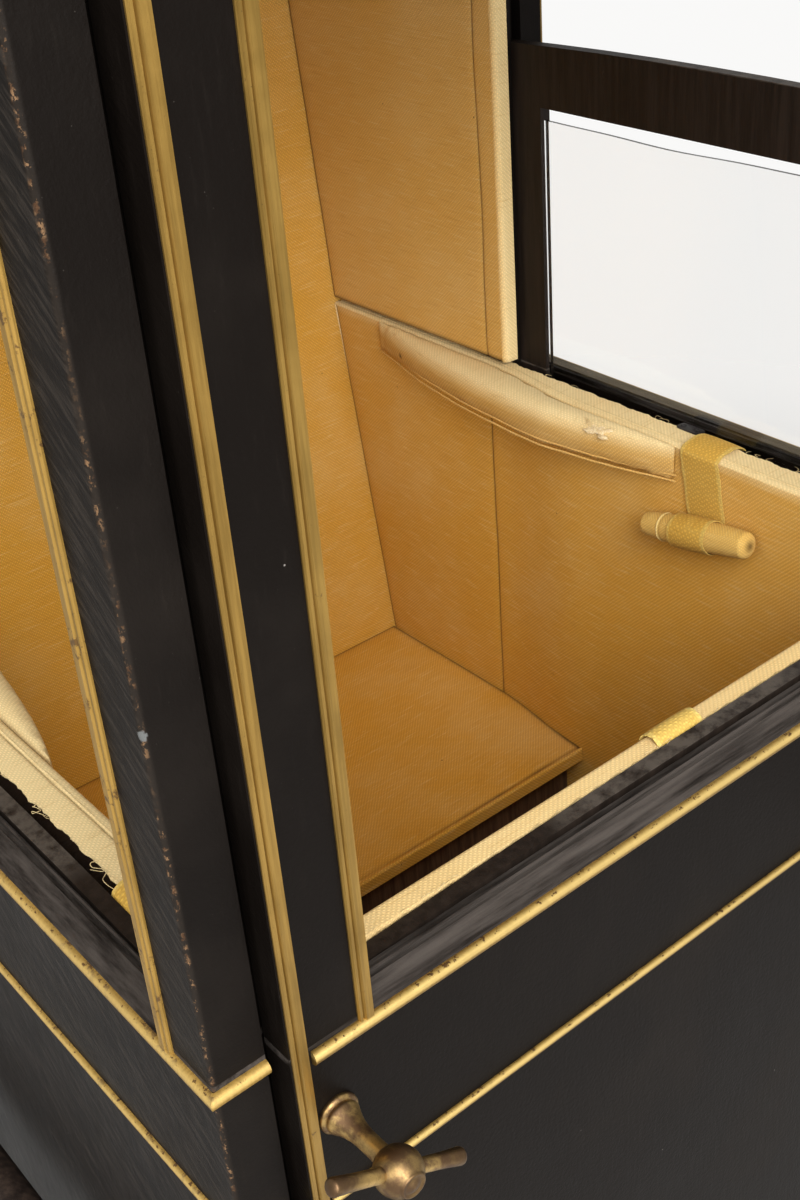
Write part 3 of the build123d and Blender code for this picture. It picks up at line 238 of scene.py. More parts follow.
def lathe(profile, origin, axis, count, **worn):
    """A turned shape: each (distance, radius) of the profile is a circle about the axis."""
    axis = np.asarray(axis, float) / np.linalg.norm(axis)
    first = np.cross(axis, [0.0, 0.0, 1.0] if abs(axis[2]) < 0.9 else [1.0, 0.0, 0.0])
    first /= np.linalg.norm(first)
    t = np.linspace(0, 2 * np.pi, count, endpoint=False)[:, None]
    spoke = np.cos(t) * first + np.sin(t) * np.cross(axis, first)
    rings = np.asarray(origin) + profile[:, 0, None, None] * axis + profile[:, 1, None, None] * spoke
    return skin(rings, **worn)


def fetch(items, name, width=1, kind=float):
    """One property of every item of a mesh, as an array."""
    values = np.zeros(len(items) * width, kind)
    items.foreach_get(name, values)
    return values.reshape(-1, width)


def cloth_uv(mesh):
    """Lays the weave in metres on each face from the side it faces most: (y, z), (x, z) or (x, -y)."""
    at = fetch(mesh.vertices, "co", 3)[fetch(mesh.loops, "vertex_index", 1, int)[:, 0]]
    facing = np.abs(fetch(mesh.polygons, "normal", 3)).argmax(1)
    facing = np.repeat(facing, fetch(mesh.polygons, "loop_total", 1, int)[:, 0])[:, None]
    uv = np.where(facing == 0, at[:, [1, 2]], at[:, [0, 2]])
    uv = np.where(facing == 2, at[:, [0, 1]] * (1, -1), uv)
    layer = mesh.uv_layers.get("UVMap") or mesh.uv_layers.new(name="UVMap")
    layer.data.foreach_set("uv", uv.ravel())


def set_values(mesh, name, values):
    """Stores one number for each point of a mesh as a named attribute."""
    attribute = mesh.attributes.get(name) or mesh.attributes.new(name, "FLOAT", "POINT")
    attribute.data.foreach_set("value", np.asarray(values, np.float32))


def make_piece(name, surfaces, replaces=(), fill=None, body="cabin", slot="ochre_cloth",
               finishes=("ochre_cloth",), sharp=40.0):
    """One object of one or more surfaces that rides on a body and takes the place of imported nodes."""
    start, faces, index = 0, [], []
    for surface in surfaces:
        faces += (surface.quads + start).tolist() + (surface.tris + start).tolist()
        index += [surface.material] * (len(surface.quads) + len(surface.tris))
        start += len(surface.points)
    mesh = bpy.data.meshes.new(name)
    mesh.from_pydata(np.vstack([surface.points for surface in surfaces]), [], faces)
    mesh.polygons.foreach_set("material_index", index)
    mesh.polygons.foreach_set("use_smooth", [True] * len(mesh.polygons))
    mesh.set_sharp_from_angle(angle=math.radians(sharp))
    for finish in finishes:
        mesh.materials.append(MATERIALS[finish])
    for key in ("fade", "seam"):
        set_values(mesh, key, np.concatenate([getattr(surface, key) for surface in surfaces]))
    cloth_uv(mesh)
    piece = bpy.data.objects.new(name, mesh)
    bpy.context.scene.collection.objects.link(piece)
    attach(piece, body)
    if replaces:
        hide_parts(*replaces)
    return piece


# Settings that a user would change
class ClothSettings(bpy.types.PropertyGroup):
    """Sizes and colours of the woven cloth and its padding."""

    colour: FloatVectorProperty(
        name="Cloth", description="Dyed colour of the cloth", subtype="COLOR", default=(0.76, 0.415, 0.060)
    )
    # The faded colour also paints the light on lit tops, where the points' pale values mark it
    faded: FloatVectorProperty(
        name="Faded", description="Cloth bleached by the sun", subtype="COLOR", default=(0.90, 0.70, 0.36)
    )
    thread_gap: FloatVectorProperty(
        name="Groove", description="Colour between the ribs", subtype="COLOR", default=(0.38, 0.175, 0.020)
    )
    rib: FloatProperty(
        name="Rib", description="Distance from rib to rib", unit="LENGTH", default=2.7 * MM, precision=5
    )
    puff: FloatProperty(
        name="Puff", description="How far a padded edge dips", unit="LENGTH", default=1.6 * MM, precision=5
    )
    welt: FloatProperty(
        name="Welt", description="Radius of the piping", unit="LENGTH", default=1.5 * MM, precision=5
    )


class FinishSettings(bpy.types.PropertyGroup):
    """Colours of the paint, gilding, wood and metals."""

    japan: FloatVectorProperty(
        name="Japan", description="Black painted leather", subtype="COLOR", default=(0.0052, 0.0038, 0.0030)
    )
    dust: FloatVectorProperty(
        name="Dust", description="Dust and rubbed paint", subtype="COLOR", default=(0.048, 0.038, 0.030)
    )
    gold: FloatVectorProperty(
        name="Gold", description="Gilding", subtype="COLOR", default=(0.34, 0.205, 0.048)
    )
    bole: FloatVectorProperty(
        name="Bole", description="Brown ground that shows where gilding is rubbed", subtype="COLOR",
        default=(0.10, 0.052, 0.018),
    )
    brass: FloatVectorProperty(
        name="Brass", description="Handled brass", subtype="COLOR", default=(0.52, 0.35, 0.13)
    )
    patina: FloatVectorProperty(
        name="Patina", description="Brown skin of old brass", subtype="COLOR", default=(0.16, 0.095, 0.050)
    )
    sash: FloatVectorProperty(
        name="Sash wood", description="Dark stained wood", subtype="COLOR", default=(0.010, 0.0068, 0.0050)
    )


class StageSettings(bpy.types.PropertyGroup):
    """Camera and lamps."""

    place: FloatVectorProperty(
        name="Camera", description="Place of the camera", subtype="XYZ", unit="LENGTH",
        default=(-0.6009, -0.8998, 1.3979),
    )
    turn: FloatVectorProperty(
        name="Turn", description="Turn of the camera about x, y and z, in degrees",
        default=(57.976, 4.105, -39.719),
    )
    lens: FloatProperty(name="Lens", description="Focal length in millimetres", default=46.26)
    key: FloatProperty(name="Key", description="Power of the high lamp in watts", default=95.0)
    front: FloatProperty(
        name="Front", description="Power of the lamp before the door in watts", default=58.0
    )
    fill: FloatProperty(name="Fill", description="Power of the lamp on the left in watts", default=28.0)
    sky: FloatProperty(name="Sky", description="Strength of the even light", default=0.70)


GROUPS = {"sedan_cloth": ClothSettings, "sedan_finish": FinishSettings, "sedan_stage": StageSettings}
MATERIALS = {}


# Materials
def add_node(tree, kind, inputs, output=0, **settings):
    """Adds a node, sets its settings, and joins or sets its inputs by name or number."""
    made = tree.nodes.new(kind)
    for key, value in settings.items():
        setattr(made, key, value)
    for key, value in inputs.items():
        if isinstance(value, bpy.types.NodeSocket):
            tree.links.new(value, made.inputs[key])
        else:
            made.inputs[key].default_value = value
    return made.outputs[output]


def scaled(colour, share):
    """A colour times a share, or times one share for each of its parts, up to 1."""
    return tuple(np.minimum(1.0, np.multiply(colour, share)))


class Shade:
    """A material's nodes, made one by one and joined as they are made."""

    def __init__(self, name):
        self.material = bpy.data.materials.new(name)
        self.material.use_nodes = True
        self.tree = self.material.node_tree
        self.shader = self.tree.nodes["Principled BSDF"]
        coords = self.tree.nodes.new("ShaderNodeTexCoord").outputs
        self.object, self.uv = coords["Object"], coords["UV"]

    def node(self, kind, inputs, output=0, **settings):
        """Adds a node to the material."""
        return add_node(self.tree, kind, inputs, output, **settings)

    def axes(self, vector):
        """The three parts of a vector."""
        apart = self.tree.nodes.new("ShaderNodeSeparateXYZ")
        self.tree.links.new(vector, apart.inputs[0])
        return apart.outputs

    def place(self, scale, turn=(0, 0, 0), source=None, **settings):
        """The piece's own coordinates, stretched and turned."""
        inputs = {"Vector": source or self.object, "Scale": scale, "Rotation": turn}
        return self.node("ShaderNodeMapping", inputs, **settings)

    def maths(self, operation, a, b=0.0):
        """One sum of one or two numbers."""
        return self.node("ShaderNodeMath", {0: a, 1: b}, operation=operation)

    def times_plus(self, a, b, c):
        """A number times a second plus a third."""
        return self.node("ShaderNodeMath", {0: a, 1: b, 2: c}, operation="MULTIPLY_ADD")

    def times(self, first, *others):
        """The product of some numbers."""
        for other in others:
            first = self.maths("MULTIPLY", first, other)
        return first

    def off(self, value, level):
        """How far a value is from a level, either way."""
        return self.maths("ABSOLUTE", self.maths("SUBTRACT", value, level))

    def noise(self, scale, detail=3.0, rough=0.55, vector=None):
        """Smooth random patches, so many to a metre."""
        inputs = {"Vector": vector or self.object, "Scale": scale, "Detail": detail, "Roughness": rough}
        return self.node("ShaderNodeTexNoise", inputs)

    def cells(self, scale, vector=None):
        """Distance to the nearest of scattered points, so many to a metre."""
        return self.node("ShaderNodeTexVoronoi", {"Vector": vector or self.object, "Scale": scale})

    def step(self, value, low, high):
        """0 below low, 1 above high, and a smooth rise between; low may be the larger, which turns it round."""
        inputs = {"Value": value, "From Min": low, "From Max": high, "To Min": 0.0, "To Max": 1.0}
        return self.node("ShaderNodeMapRange", inputs, interpolation_type="SMOOTHSTEP")

    def blend(self, share, first, second):
        """Two colours mixed by a share."""
        a, b = (c if isinstance(c, bpy.types.NodeSocket) else (*c, 1.0) for c in (first, second))
        return self.node("ShaderNodeMix", {0: share, 6: a, 7: b}, 2, data_type="RGBA")

    def lay(self, tone, colour, value, low, high, *shares):
        """Lays a colour over a tone where a value passes from low to high, times some shares."""
        return self.blend(self.times(self.step(value, low, high), *shares), tone, colour)

    def bump(self, height, distance, strength):
        """A bump whose full height is a distance in metres."""
        return self.node("ShaderNodeBump", {"Height": height, "Distance": distance, "Strength": strength})

    def value(self, name):
        """A number stored on the piece's points."""
        return self.node("ShaderNodeAttribute", {}, 2, attribute_name=name)

    def finish(self, colour, rough, normal=None, **constants):
        """Joins or sets colour, roughness and bump at the shader, and sets its constants."""
        values = {"Base Color": colour, "Roughness": rough, "Normal": normal, **constants}
        for key, value in values.items():
            socket = self.shader.inputs[key.replace("_", " ")]
            if isinstance(value, bpy.types.NodeSocket):
                self.tree.links.new(value, socket)
            elif value is not None:
                socket.default_value = value
        return self.material


def arris_distance(shade):
    """Distance from the nearest of the cabin's upright outer edges, alike on the left and the right."""
    x, y, z = shade.axes(shade.object)
    dx = shade.maths("SUBTRACT", shade.maths("ABSOLUTE", x), HALF)
    above, nearest = shade.maths("SUBTRACT", z, WAIST), 1.0
    for line_y, lean in ((FRONT, 0.0), (BACK_AT_WAIST, LEAN_UP), (BACK_AT_WAIST, LEAN_DOWN)):
        dy = shade.maths("SUBTRACT", y, shade.times_plus(above, lean, line_y))
        distance = shade.maths("SQRT", shade.times_plus(dx, dx, shade.times(dy, dy)))
        nearest = shade.maths("MINIMUM", nearest, distance)
    return nearest


def japanned(name, finish, rough, grain=(1, 1, 0.12), ledge_dust_and_sheen=0.0, along=(1, 0.12, 1), gleam=0.06,
             worn=False):
    """Black painted leather: fine wrinkles, slanting creases, pale streaks of dust and painted sheen on the
    sill's ledge, and pale specks; where it is worn, a thin line of brown chips along the arrises and one pale
    fleck."""
    shade = Shade(name)
    dust = finish.dust
    streaks = shade.noise(260.0, 4.0, 0.6, shade.place(grain))
    patches = shade.noise(7.0, 4.0, 0.6)
    creases = shade.noise(420.0, 3.0, 0.60, shade.place((1, 1, 8), (-0.88, 0, 0), vector_type="TEXTURE"))
    x, _, z = shade.axes(shade.object)
    outside = shade.step(shade.maths("ABSOLUTE", x), HALF - 1.0 * MM, HALF - 0.2 * MM)
    tone = shade.lay(finish.japan, dust, patches, 0.45, 0.75, 0.10)
    tone = shade.lay(tone, dust, streaks, 0.55, 0.8, 0.07)
    tone = shade.lay(tone, dust, creases, 0.42, 0.70, outside, 0.42)
    tone = shade.lay(tone, (0.16, 0.14, 0.12), shade.cells(150.0), 0.040, 0.025, 0.22)
    tone = shade.lay(tone, (0.34, 0.31, 0.28), shade.cells(34.0), 0.022, 0.012, 0.5)
    if ledge_dust_and_sheen:
        # Streaks on the sill's ledge: settled dust, and a painted sheen along the ledge
        foot = SILL - 4.5 * MM
        on = shade.times(shade.step(z, foot - 0.4 * MM, foot), shade.step(z, SILL + 0.6 * MM, SILL))
        settled = shade.noise(120.0, 5.0, 0.65, shade.place(along))
        tone = shade.lay(tone, (0.150, 0.128, 0.112), settled, 0.30, 0.68, on, ledge_dust_and_sheen)
    if worn:
        distance = arris_distance(shade)
        tone = shade.lay(tone, dust, distance, 4.0 * MM, 0.0, 0.30)
        chips = shade.noise(300.0, 4.0, 0.72, shade.place((1, 1, 0.75)))
        sparse = shade.step(shade.noise(13.0, 3.0, 0.6), 0.38, 0.52)
        bare = shade.lay((0.060, 0.030, 0.015), (0.20, 0.115, 0.058), shade.noise(240.0), 0.4, 0.6)
        tone = shade.lay(tone, bare, chips, 0.53, 0.58, shade.step(distance, 2.6 * MM, 0.8 * MM), sparse)
        fleck = {0: shade.object, 1: (-HALF, FRONT, FLECK_HEIGHT)}
        away = shade.node("ShaderNodeVectorMath", fleck, 1, operation="DISTANCE")
        ragged = shade.times_plus(shade.noise(500.0), 3.0 * MM, away)
        tone = shade.lay(tone, (0.11, 0.113, 0.11), ragged, 5.0 * MM, 4.0 * MM)
    height = shade.times_plus(streaks, 0.45, shade.times(shade.cells(900.0), 0.20))
    height = shade.times_plus(creases, 1.1, height)
    gloss = shade.times_plus(streaks, 0.14, shade.times_plus(patches, 0.24, rough - 0.12))
    return shade.finish(tone, gloss, shade.bump(height, 0.35 * MM, 0.6), Specular_IOR_Level=gleam)


def woven(name, cloth, tint=(1.0, 1.0, 1.0), faded_by=0.0, rib_share=1.0, turned=False):
    """Ribbed cloth: slanting ribs crossed by finer threads, slubs and stains; paler by the points' pale values,
    partly painted light, and darker by their dark values, seams and painted shade.
    A strap's own ribs meet in a herringbone, which the two slants take turns to make."""
    shade = Shade(name)
    uv = shade.uv
    u, v, _ = shade.axes(uv)
    sway = shade.times_plus(shade.noise(120.0, 2.0, 0.5, uv), 1.1 * MM, -0.55 * MM)
    if turned:
        u = shade.maths("PINGPONG", u, 5.0 * MM)
    across = shade.maths("ADD", shade.maths("ADD", u, v), sway)
    slant = shade.maths("ADD", shade.maths("SUBTRACT", u, v), sway)
    pitch = 2 * math.pi / (cloth.rib * rib_share * math.sqrt(2))
    rib = shade.maths("SINE", shade.times(across, pitch))
    cross = shade.maths("SINE", shade.times(slant, pitch * 1.25))
    knots = shade.times_plus(rib, 0.34, shade.times(cross, 0.30))
    knots = shade.times_plus(shade.times(rib, cross), 0.48, knots)
    height = shade.times_plus(knots, 0.5, 0.5)
    slub = shade.noise(430.0, 3.0, 0.62, shade.place((0.07, 1.2, 1.0), source=uv))
    lone = shade.noise(300.0, 2.0, 0.5, shade.place((0.22, 1.6, 1.0), source=uv))
    patches = shade.noise(5.0, 5.0, 0.62, uv)
    dyed, pale, groove = (scaled(c, tint) for c in (cloth.colour, cloth.faded, cloth.thread_gap))
    # Paler where the points are marked pale; on the arm pads this is a painted light gradient
    fade = shade.maths("ADD", shade.value("fade"), faded_by)
    fade = shade.times(fade, shade.times_plus(patches, 0.6, 0.70))
    light = shade.blend(shade.times_plus(height, 0.85, 0.15), scaled(pale, 0.60), pale)
    tone = shade.blend(fade, shade.blend(shade.times_plus(height, 0.95, 0.05), groove, dyed), light)
    tone = shade.lay(tone, light, slub, 0.52, 0.74, 0.30)
    tone = shade.lay(tone, groove, slub, 0.46, 0.28, 0.30)
    tone = shade.lay(tone, pale, lone, 0.70, 0.78, 0.32)
    tone = shade.lay(tone, light, patches, 0.42, 0.75, 0.20)
    tone = shade.lay(tone, (0.30, 0.14, 0.035), shade.noise(14.0, 4.0, 0.7, uv), 0.60, 0.82, 0.22)
    tone = shade.lay(tone, (0.08, 0.04, 0.015), shade.cells(23.0, uv), 0.026, 0.015, 0.75)
    # Darker at seams and marks, and painted shade where the points mark it: along padded edges, in the sash
    # pockets and low on the arm pads
    tone = shade.blend(shade.times(shade.value("seam"), 0.90), tone, (0.050, 0.022, 0.008))
    height = shade.times_plus(shade.noise(700.0, 2.0, 0.6, uv), 0.25, shade.times_plus(slub, 0.5, height))
    return shade.finish(
        tone, 0.88, shade.bump(height, 0.45 * MM, 0.9), Specular_IOR_Level=0.06, Sheen_Weight=0.02,
        Sheen_Roughness=0.5,
    )


def gilded(name, finish, worn):
    """Old gilding: drawn lengthwise, olive where soiled, brown where rubbed away; the lying beads have a
    painted highlight along their crowns and are nicked along their upper edges."""
    shade = Shade(name)
    gold, bole = finish.gold, finish.bole
    drawn = shade.noise(420.0, 3.0, 0.6, shade.place((1.0, 1.0, 0.03)))
    rubbed = shade.noise(95.0, 5.0, 0.72)
    pits = shade.noise(800.0, 3.0, 0.7)
    olive = scaled(gold, (0.52, 0.50, 0.42))
    edge = 0.70 - 0.13 * worn
    tone = shade.lay(gold, olive, drawn, 0.40, 0.66, 0.55)
    tone = shade.lay(tone, olive, shade.noise(16.0, 4.0, 0.62), 0.38, 0.70, 0.50)
    tone = shade.lay(tone, bole, rubbed, edge, edge + 0.07, 0.9)
    tone = shade.lay(tone, (0.030, 0.017, 0.010), pits, 0.66, 0.74, 0.7)
    x, _, z = shade.axes(shade.object)
    lying = shade.step(shade.off(shade.maths("ABSOLUTE", x), DOOR_STRIP), 6.4 * MM, 7.0 * MM)
    nicks = shade.step(shade.noise(230.0, 5.0, 0.7), 0.57, 0.61)
    for level, radius in BEADS:
        # A painted highlight along each lying bead's crown, weaker where the gilding is worn, and brown nicks
        # along its upper edge
        crown, upper = shade.off(z, level + 0.45 * radius), shade.off(z, level + 0.95 * radius)
        painted_highlight = 0.90 - 0.50 * worn
        tone = shade.lay(tone, (0.86, 0.62, 0.22), crown, 0.62 * radius, 0.10 * radius, lying, painted_highlight)
        tone = shade.lay(tone, bole, upper, 0.35 * radius, 0.15 * radius, lying, nicks)
    height = shade.times_plus(rubbed, -0.5, shade.times_plus(drawn, 0.5, shade.times(pits, 0.25)))
    return shade.finish(
        tone, shade.times_plus(rubbed, 0.30, 0.15 + 0.20 * worn), shade.bump(height, 0.4 * MM, 0.5),
        Metallic=0.85 - 0.45 * worn, Specular_IOR_Level=0.5 - 0.3 * worn,
    )


def aged_metal(name, bright, dull, metallic=1.0, rough=0.30):
    """Handled metal: bright where hands rub, with a dull skin in patches and fine scratches."""
    shade = Shade(name)
    patches = shade.noise(55.0, 5.0, 0.65)
    scratches = shade.noise(400.0, 3.0, 0.7, shade.place((1.0, 0.2, 2.2)))
    pits = shade.noise(1400.0, 2.0, 0.7)
    tone = shade.lay(bright, dull, patches, 0.40, 0.60)
    tone = shade.lay(tone, scaled(dull, 0.35), pits, 0.62, 0.72, 0.6)
    tone = shade.blend(shade.value("seam"), tone, scaled(dull, 0.75))
    gloss = shade.times_plus(scratches, 0.12, shade.times_plus(patches, 0.38, rough - 0.12))
    normal = shade.bump(shade.times_plus(scratches, 0.5, pits), 0.12 * MM, 0.5)
    return shade.finish(tone, gloss, normal, Metallic=metallic)


def grained(name, dark, light, turn=(0, 0, 0), rough=0.5, scratched=0.4, tops=()):
    """Wood along one axis: long fine grain, open pores, pale scratches where it has been knocked, and dust on
    its upper edges, whose heights are given."""
    shade = Shade(name)
    stretch = shade.place((1.0, 1.0, 0.06), turn)
    grain = shade.noise(150.0, 6.0, 0.68, stretch)
    pores = shade.noise(1300.0, 2.0, 0.7, stretch)
    knocks = shade.noise(60.0, 4.0, 0.8, shade.place((1.0, 1.0, 0.3), turn))
    tone = shade.lay(dark, light, grain, 0.35, 0.70)
    tone = shade.lay(tone, scaled(dark, 0.4), pores, 0.60, 0.72, 0.6)
    tone = shade.lay(tone, np.multiply(light, 3.2) + 0.02, knocks, 0.66, 0.74, scratched)
    _, _, z = shade.axes(shade.object)
    settled = shade.step(shade.noise(70.0, 5.0, 0.7), 0.30, 0.60)
    for top in tops:
        tone = shade.lay(tone, (0.082, 0.068, 0.055), shade.off(z, top), 1.2 * MM, 0.5 * MM, settled, 0.85)
    normal = shade.bump(shade.times_plus(pores, -0.5, grain), 0.3 * MM, 0.6)
    return shade.finish(tone, shade.times_plus(grain, 0.25, rough - 0.12), normal, Specular_IOR_Level=0.15)


def old_glass(name):
    """Clear sheet glass with faint ripples and a thin film of dust."""
    shade = Shade(name)
    rough = shade.times(shade.step(shade.noise(30.0, 4.0, 0.7), 0.45, 0.8), 0.10)
    normal = shade.bump(shade.noise(9.0, 2.0, 0.5), 0.6 * MM, 0.35)
    return shade.finish((0.985, 0.985, 0.975, 1.0), rough, normal, Transmission_Weight=1.0, IOR=1.46)


def plain_fibre(name, colour, shadow, scale):
    """Loose fibre: two close colours in a fine speckle, with a deep bump."""
    shade = Shade(name)
    nap = shade.noise(scale, 4.0, 0.75)
    tone = shade.lay(shadow, colour, nap, 0.35, 0.65)
    tone = shade.lay(tone, shadow, shade.noise(scale / 25, 3.0, 0.6), 0.45, 0.7, 0.4)
    return shade.finish(tone, 0.95, shade.bump(nap, 0.8 * MM, 0.8), Specular_IOR_Level=0.2)


def make_materials(scene):
    """Every finish of the chair, by a maker's name for it."""
    cloth, finish = scene.sedan_cloth, scene.sedan_finish
    quarter = math.pi / 2
    sash_tops = [corners(node)[1][2] for node in ("sash_left", "sash_right")]
    kinds = {
        "black_wood": (japanned, finish, 0.40, (1, 1, 0.12), 0.40, (1, 0.12, 1), 0.06, True),
        "black_door": (japanned, finish, 0.34, (1, 1, 0.12), 0.50, (0.06, 0.8, 1), 0.05),
        "black_leather": (japanned, finish, 0.46, (0.35, 0.35, 1), 0.0, (1, 0.12, 1), 0.07),
        "ochre_cloth": (woven, cloth),
        "strap_web": (woven, cloth, (0.82, 0.79, 0.46), 0.05, 1.25, True),
        "toggle_cloth": (woven, cloth, (0.97, 0.98, 0.80), 0.10, 0.75),
        "gilt": (gilded, finish, 0.25),
        "gilt_worn": (gilded, finish, 1.0),
        "brass": (aged_metal, finish.brass, finish.patina),
        "iron": (aged_metal, (0.055, 0.052, 0.050), (0.020, 0.016, 0.014), 0.7, 0.55),
        "pole_wood": (grained, (0.016, 0.011, 0.009), (0.045, 0.030, 0.022), (quarter, 0, 0)),
        "bare_wood": (grained, (0.055, 0.028, 0.014), (0.13, 0.07, 0.035), (0, quarter, 0), 0.7, 0.2),
        "sash_wood": (grained, finish.sash, scaled(finish.sash, 2.0), (0, 0, 0), 0.5, 0.35, sash_tops),
        "glass": (old_glass,),
        "stuffing": (plain_fibre, (0.92, 0.80, 0.54), (0.66, 0.46, 0.20), 900.0),
        "loose_thread": (plain_fibre, (0.80, 0.64, 0.36), (0.50, 0.36, 0.16), 1500.0),
    }
    return {name: make(name, *values) for name, (make, *values) in kinds.items()}


# Linings and pads
def back_cover(cloth):
    """The back's lining. For x across and z up, its face lies on the leaning wall's inner line, less a dip
    that dies away from the edges and a shallow random ripple."""
    low, high = corners("lining_back_lower")[0], corners("lining_back_upper")[1]
    z = np.linspace(low[2], high[2], 150)[:, None]
    x = np.linspace(-high[0], high[0], 110)
    near = np.minimum(high[0] - np.abs(x), np.minimum(z - low[2], high[2] - z))
    dip = padding(cloth, near, 9 * MM, 0.35 * MM, x, z, 3, 0.22)
    face, rear = grid(x, back_y(z, BACK_WALL) + dip, z), grid(x, back_y(z, BACK_PANEL + FIT), z)
    # Paler towards the top; the darkening along all four edges is painted shade where the lining meets the
    # frame
    fade = 0.16 * np.clip((z - WAIST) / 0.4, 0, 1)
    cover = slab(face, rear, fade, 0.85 * edge_dip(near, 1.8 * MM))
    make_piece("back_cover", [cover], ("lining_back_lower", "lining_back_upper"), 0.3)


def side_section():
    """Depth and height along a side lining's section: up the pocket side, over the top, down the face."""
    low, high, roll = BASE_TOP + FIT, LINING_TOP, 3.5 * MM
    turn = np.linspace(0, np.pi / 2, 6)[1:]
    depth = np.concatenate([
        np.full(6, LINING_NEAR + 5 * MM), np.full(2, LINING_NEAR),
        np.linspace(LINING_NEAR, LINING_FACE - roll, 44)[1:], LINING_FACE - roll + roll * np.sin(turn),
        np.full(90, LINING_FACE), [LINING_NEAR + 8 * MM],
    ])
    height = np.concatenate([
        np.linspace(low, high - 1.3 * MM, 6), [high - 1.1 * MM], np.full(44, high),
        high - roll + roll * np.cos(turn), np.linspace(high - roll, low, 91)[1:], [low],
    ])
    return depth, height


def side_lining(side, hand, cloth):
    """A lower side lining. Its section is carried from the window's front edge to the leaning back and
    stretched to the plan's depth; the face dips at its edges and at its upright seam, the top has a sewn groove
    with a thin piping inside it, and the pocket edge of the top is frayed. The top is paler, the face's edges
    carry painted shade, and the pocket side is painted dark as the pocket's shade."""
    front = corners(f"lining_lower_{hand}")[0][1]
    depth, height = side_section()
    low, high = BASE_TOP, LINING_TOP
    before, fixed = LINING_SEAM - 8 * MM, LINING_SEAM + 12 * MM
    station = np.concatenate([np.linspace(front, before, 150), np.linspace(before, fixed, 46)[1:]])[:, None]
    behind = np.linspace(0, 1, 60)[1:, None]
    y = np.concatenate([station + 0 * height, fixed + behind * (back_y(height, BACK_WALL + FIT) - fixed)])
    face = lining_depth(y)
    on_face, painted_pocket_shade = depth >= LINING_FACE - SMALL, np.arange(len(height)) < 6
    on_top = (height > high - SMALL) & (depth > LINING_NEAR + SMALL)
    frayed = np.abs(depth - LINING_NEAR) < SMALL
    stretched = LINING_NEAR + (depth - LINING_NEAR) * (face - LINING_NEAR) / (LINING_FACE - LINING_NEAR)
    near = np.minimum(np.minimum(y - front, back_y(height, BACK_WALL) - y), height - low)
    near_seam = np.abs(y - LINING_SEAM - 0.8 * MM * waver(height, 13, 0.3))
    near_groove = np.abs(face - WELT_FROM_FACE + 0.3 * MM * waver(y, 17, 0.12) - stretched)
    dip = padding(cloth, near, 8 * MM, 0.3 * MM, y, height, 7 + side, 0.18)
    dip = dip + 1.1 * MM * edge_dip(near_seam, 3 * MM)
    ragged = 1.3 * MM * (0.9 + waver(y, 11 + side, 0.034) + 0.4 * waver(y, 5, 0.009))
    ragged = ragged * np.clip(1 - (stretched - LINING_NEAR) / (6 * MM), 0, 1)
    place = stretched - on_face * dip + (frayed | on_top) * ragged
    sunk = on_top * 1.5 * MM * edge_dip(near_groove, 1.1 * MM)
    rings = grid(side * (HALF - place), y, height - sunk)
    # Paler along the top and a little paler higher on the face
    top = np.clip((height - (high - 6 * MM)) / (5 * MM), 0, 1)
    fade = top * (0.86 + 0.1 * waver(y, 5, 0.3)) + 0.10 * np.clip((height - 0.55) / 0.3, 0, 1)
    # Dark at the upright seam and along the groove; the darkening along the face's edges is painted shade
    seam = on_face * (edge_dip(near_seam, 0.9 * MM) + 0.8 * edge_dip(near, 1.6 * MM))
    seam = np.clip(seam + on_top * 0.55 * edge_dip(near_groove, 0.7 * MM), 0, 1)
    # The pocket side is painted dark as painted shade, with no paling
    cover = skin(rings, fade * ~painted_pocket_shade, seam + 2.0 * painted_pocket_shade)
    stations = np.linspace(front + 4 * MM, back_y(high, BACK_WALL) - 3 * MM, 160)
    inner = lining_depth(stations) - WELT_FROM_FACE + 1.5 * MM
    lift = high - 0.5 * MM + 0.25 * MM * waver(stations, 31, 0.1)
    piping = sweep(grid(side * (HALF - inner), stations, lift), cloth.welt * 0.6, 8, fade=0.95)
    make_piece(f"side_cover_{hand}", [cover, piping], (f"lining_lower_{hand}",), 0.25)


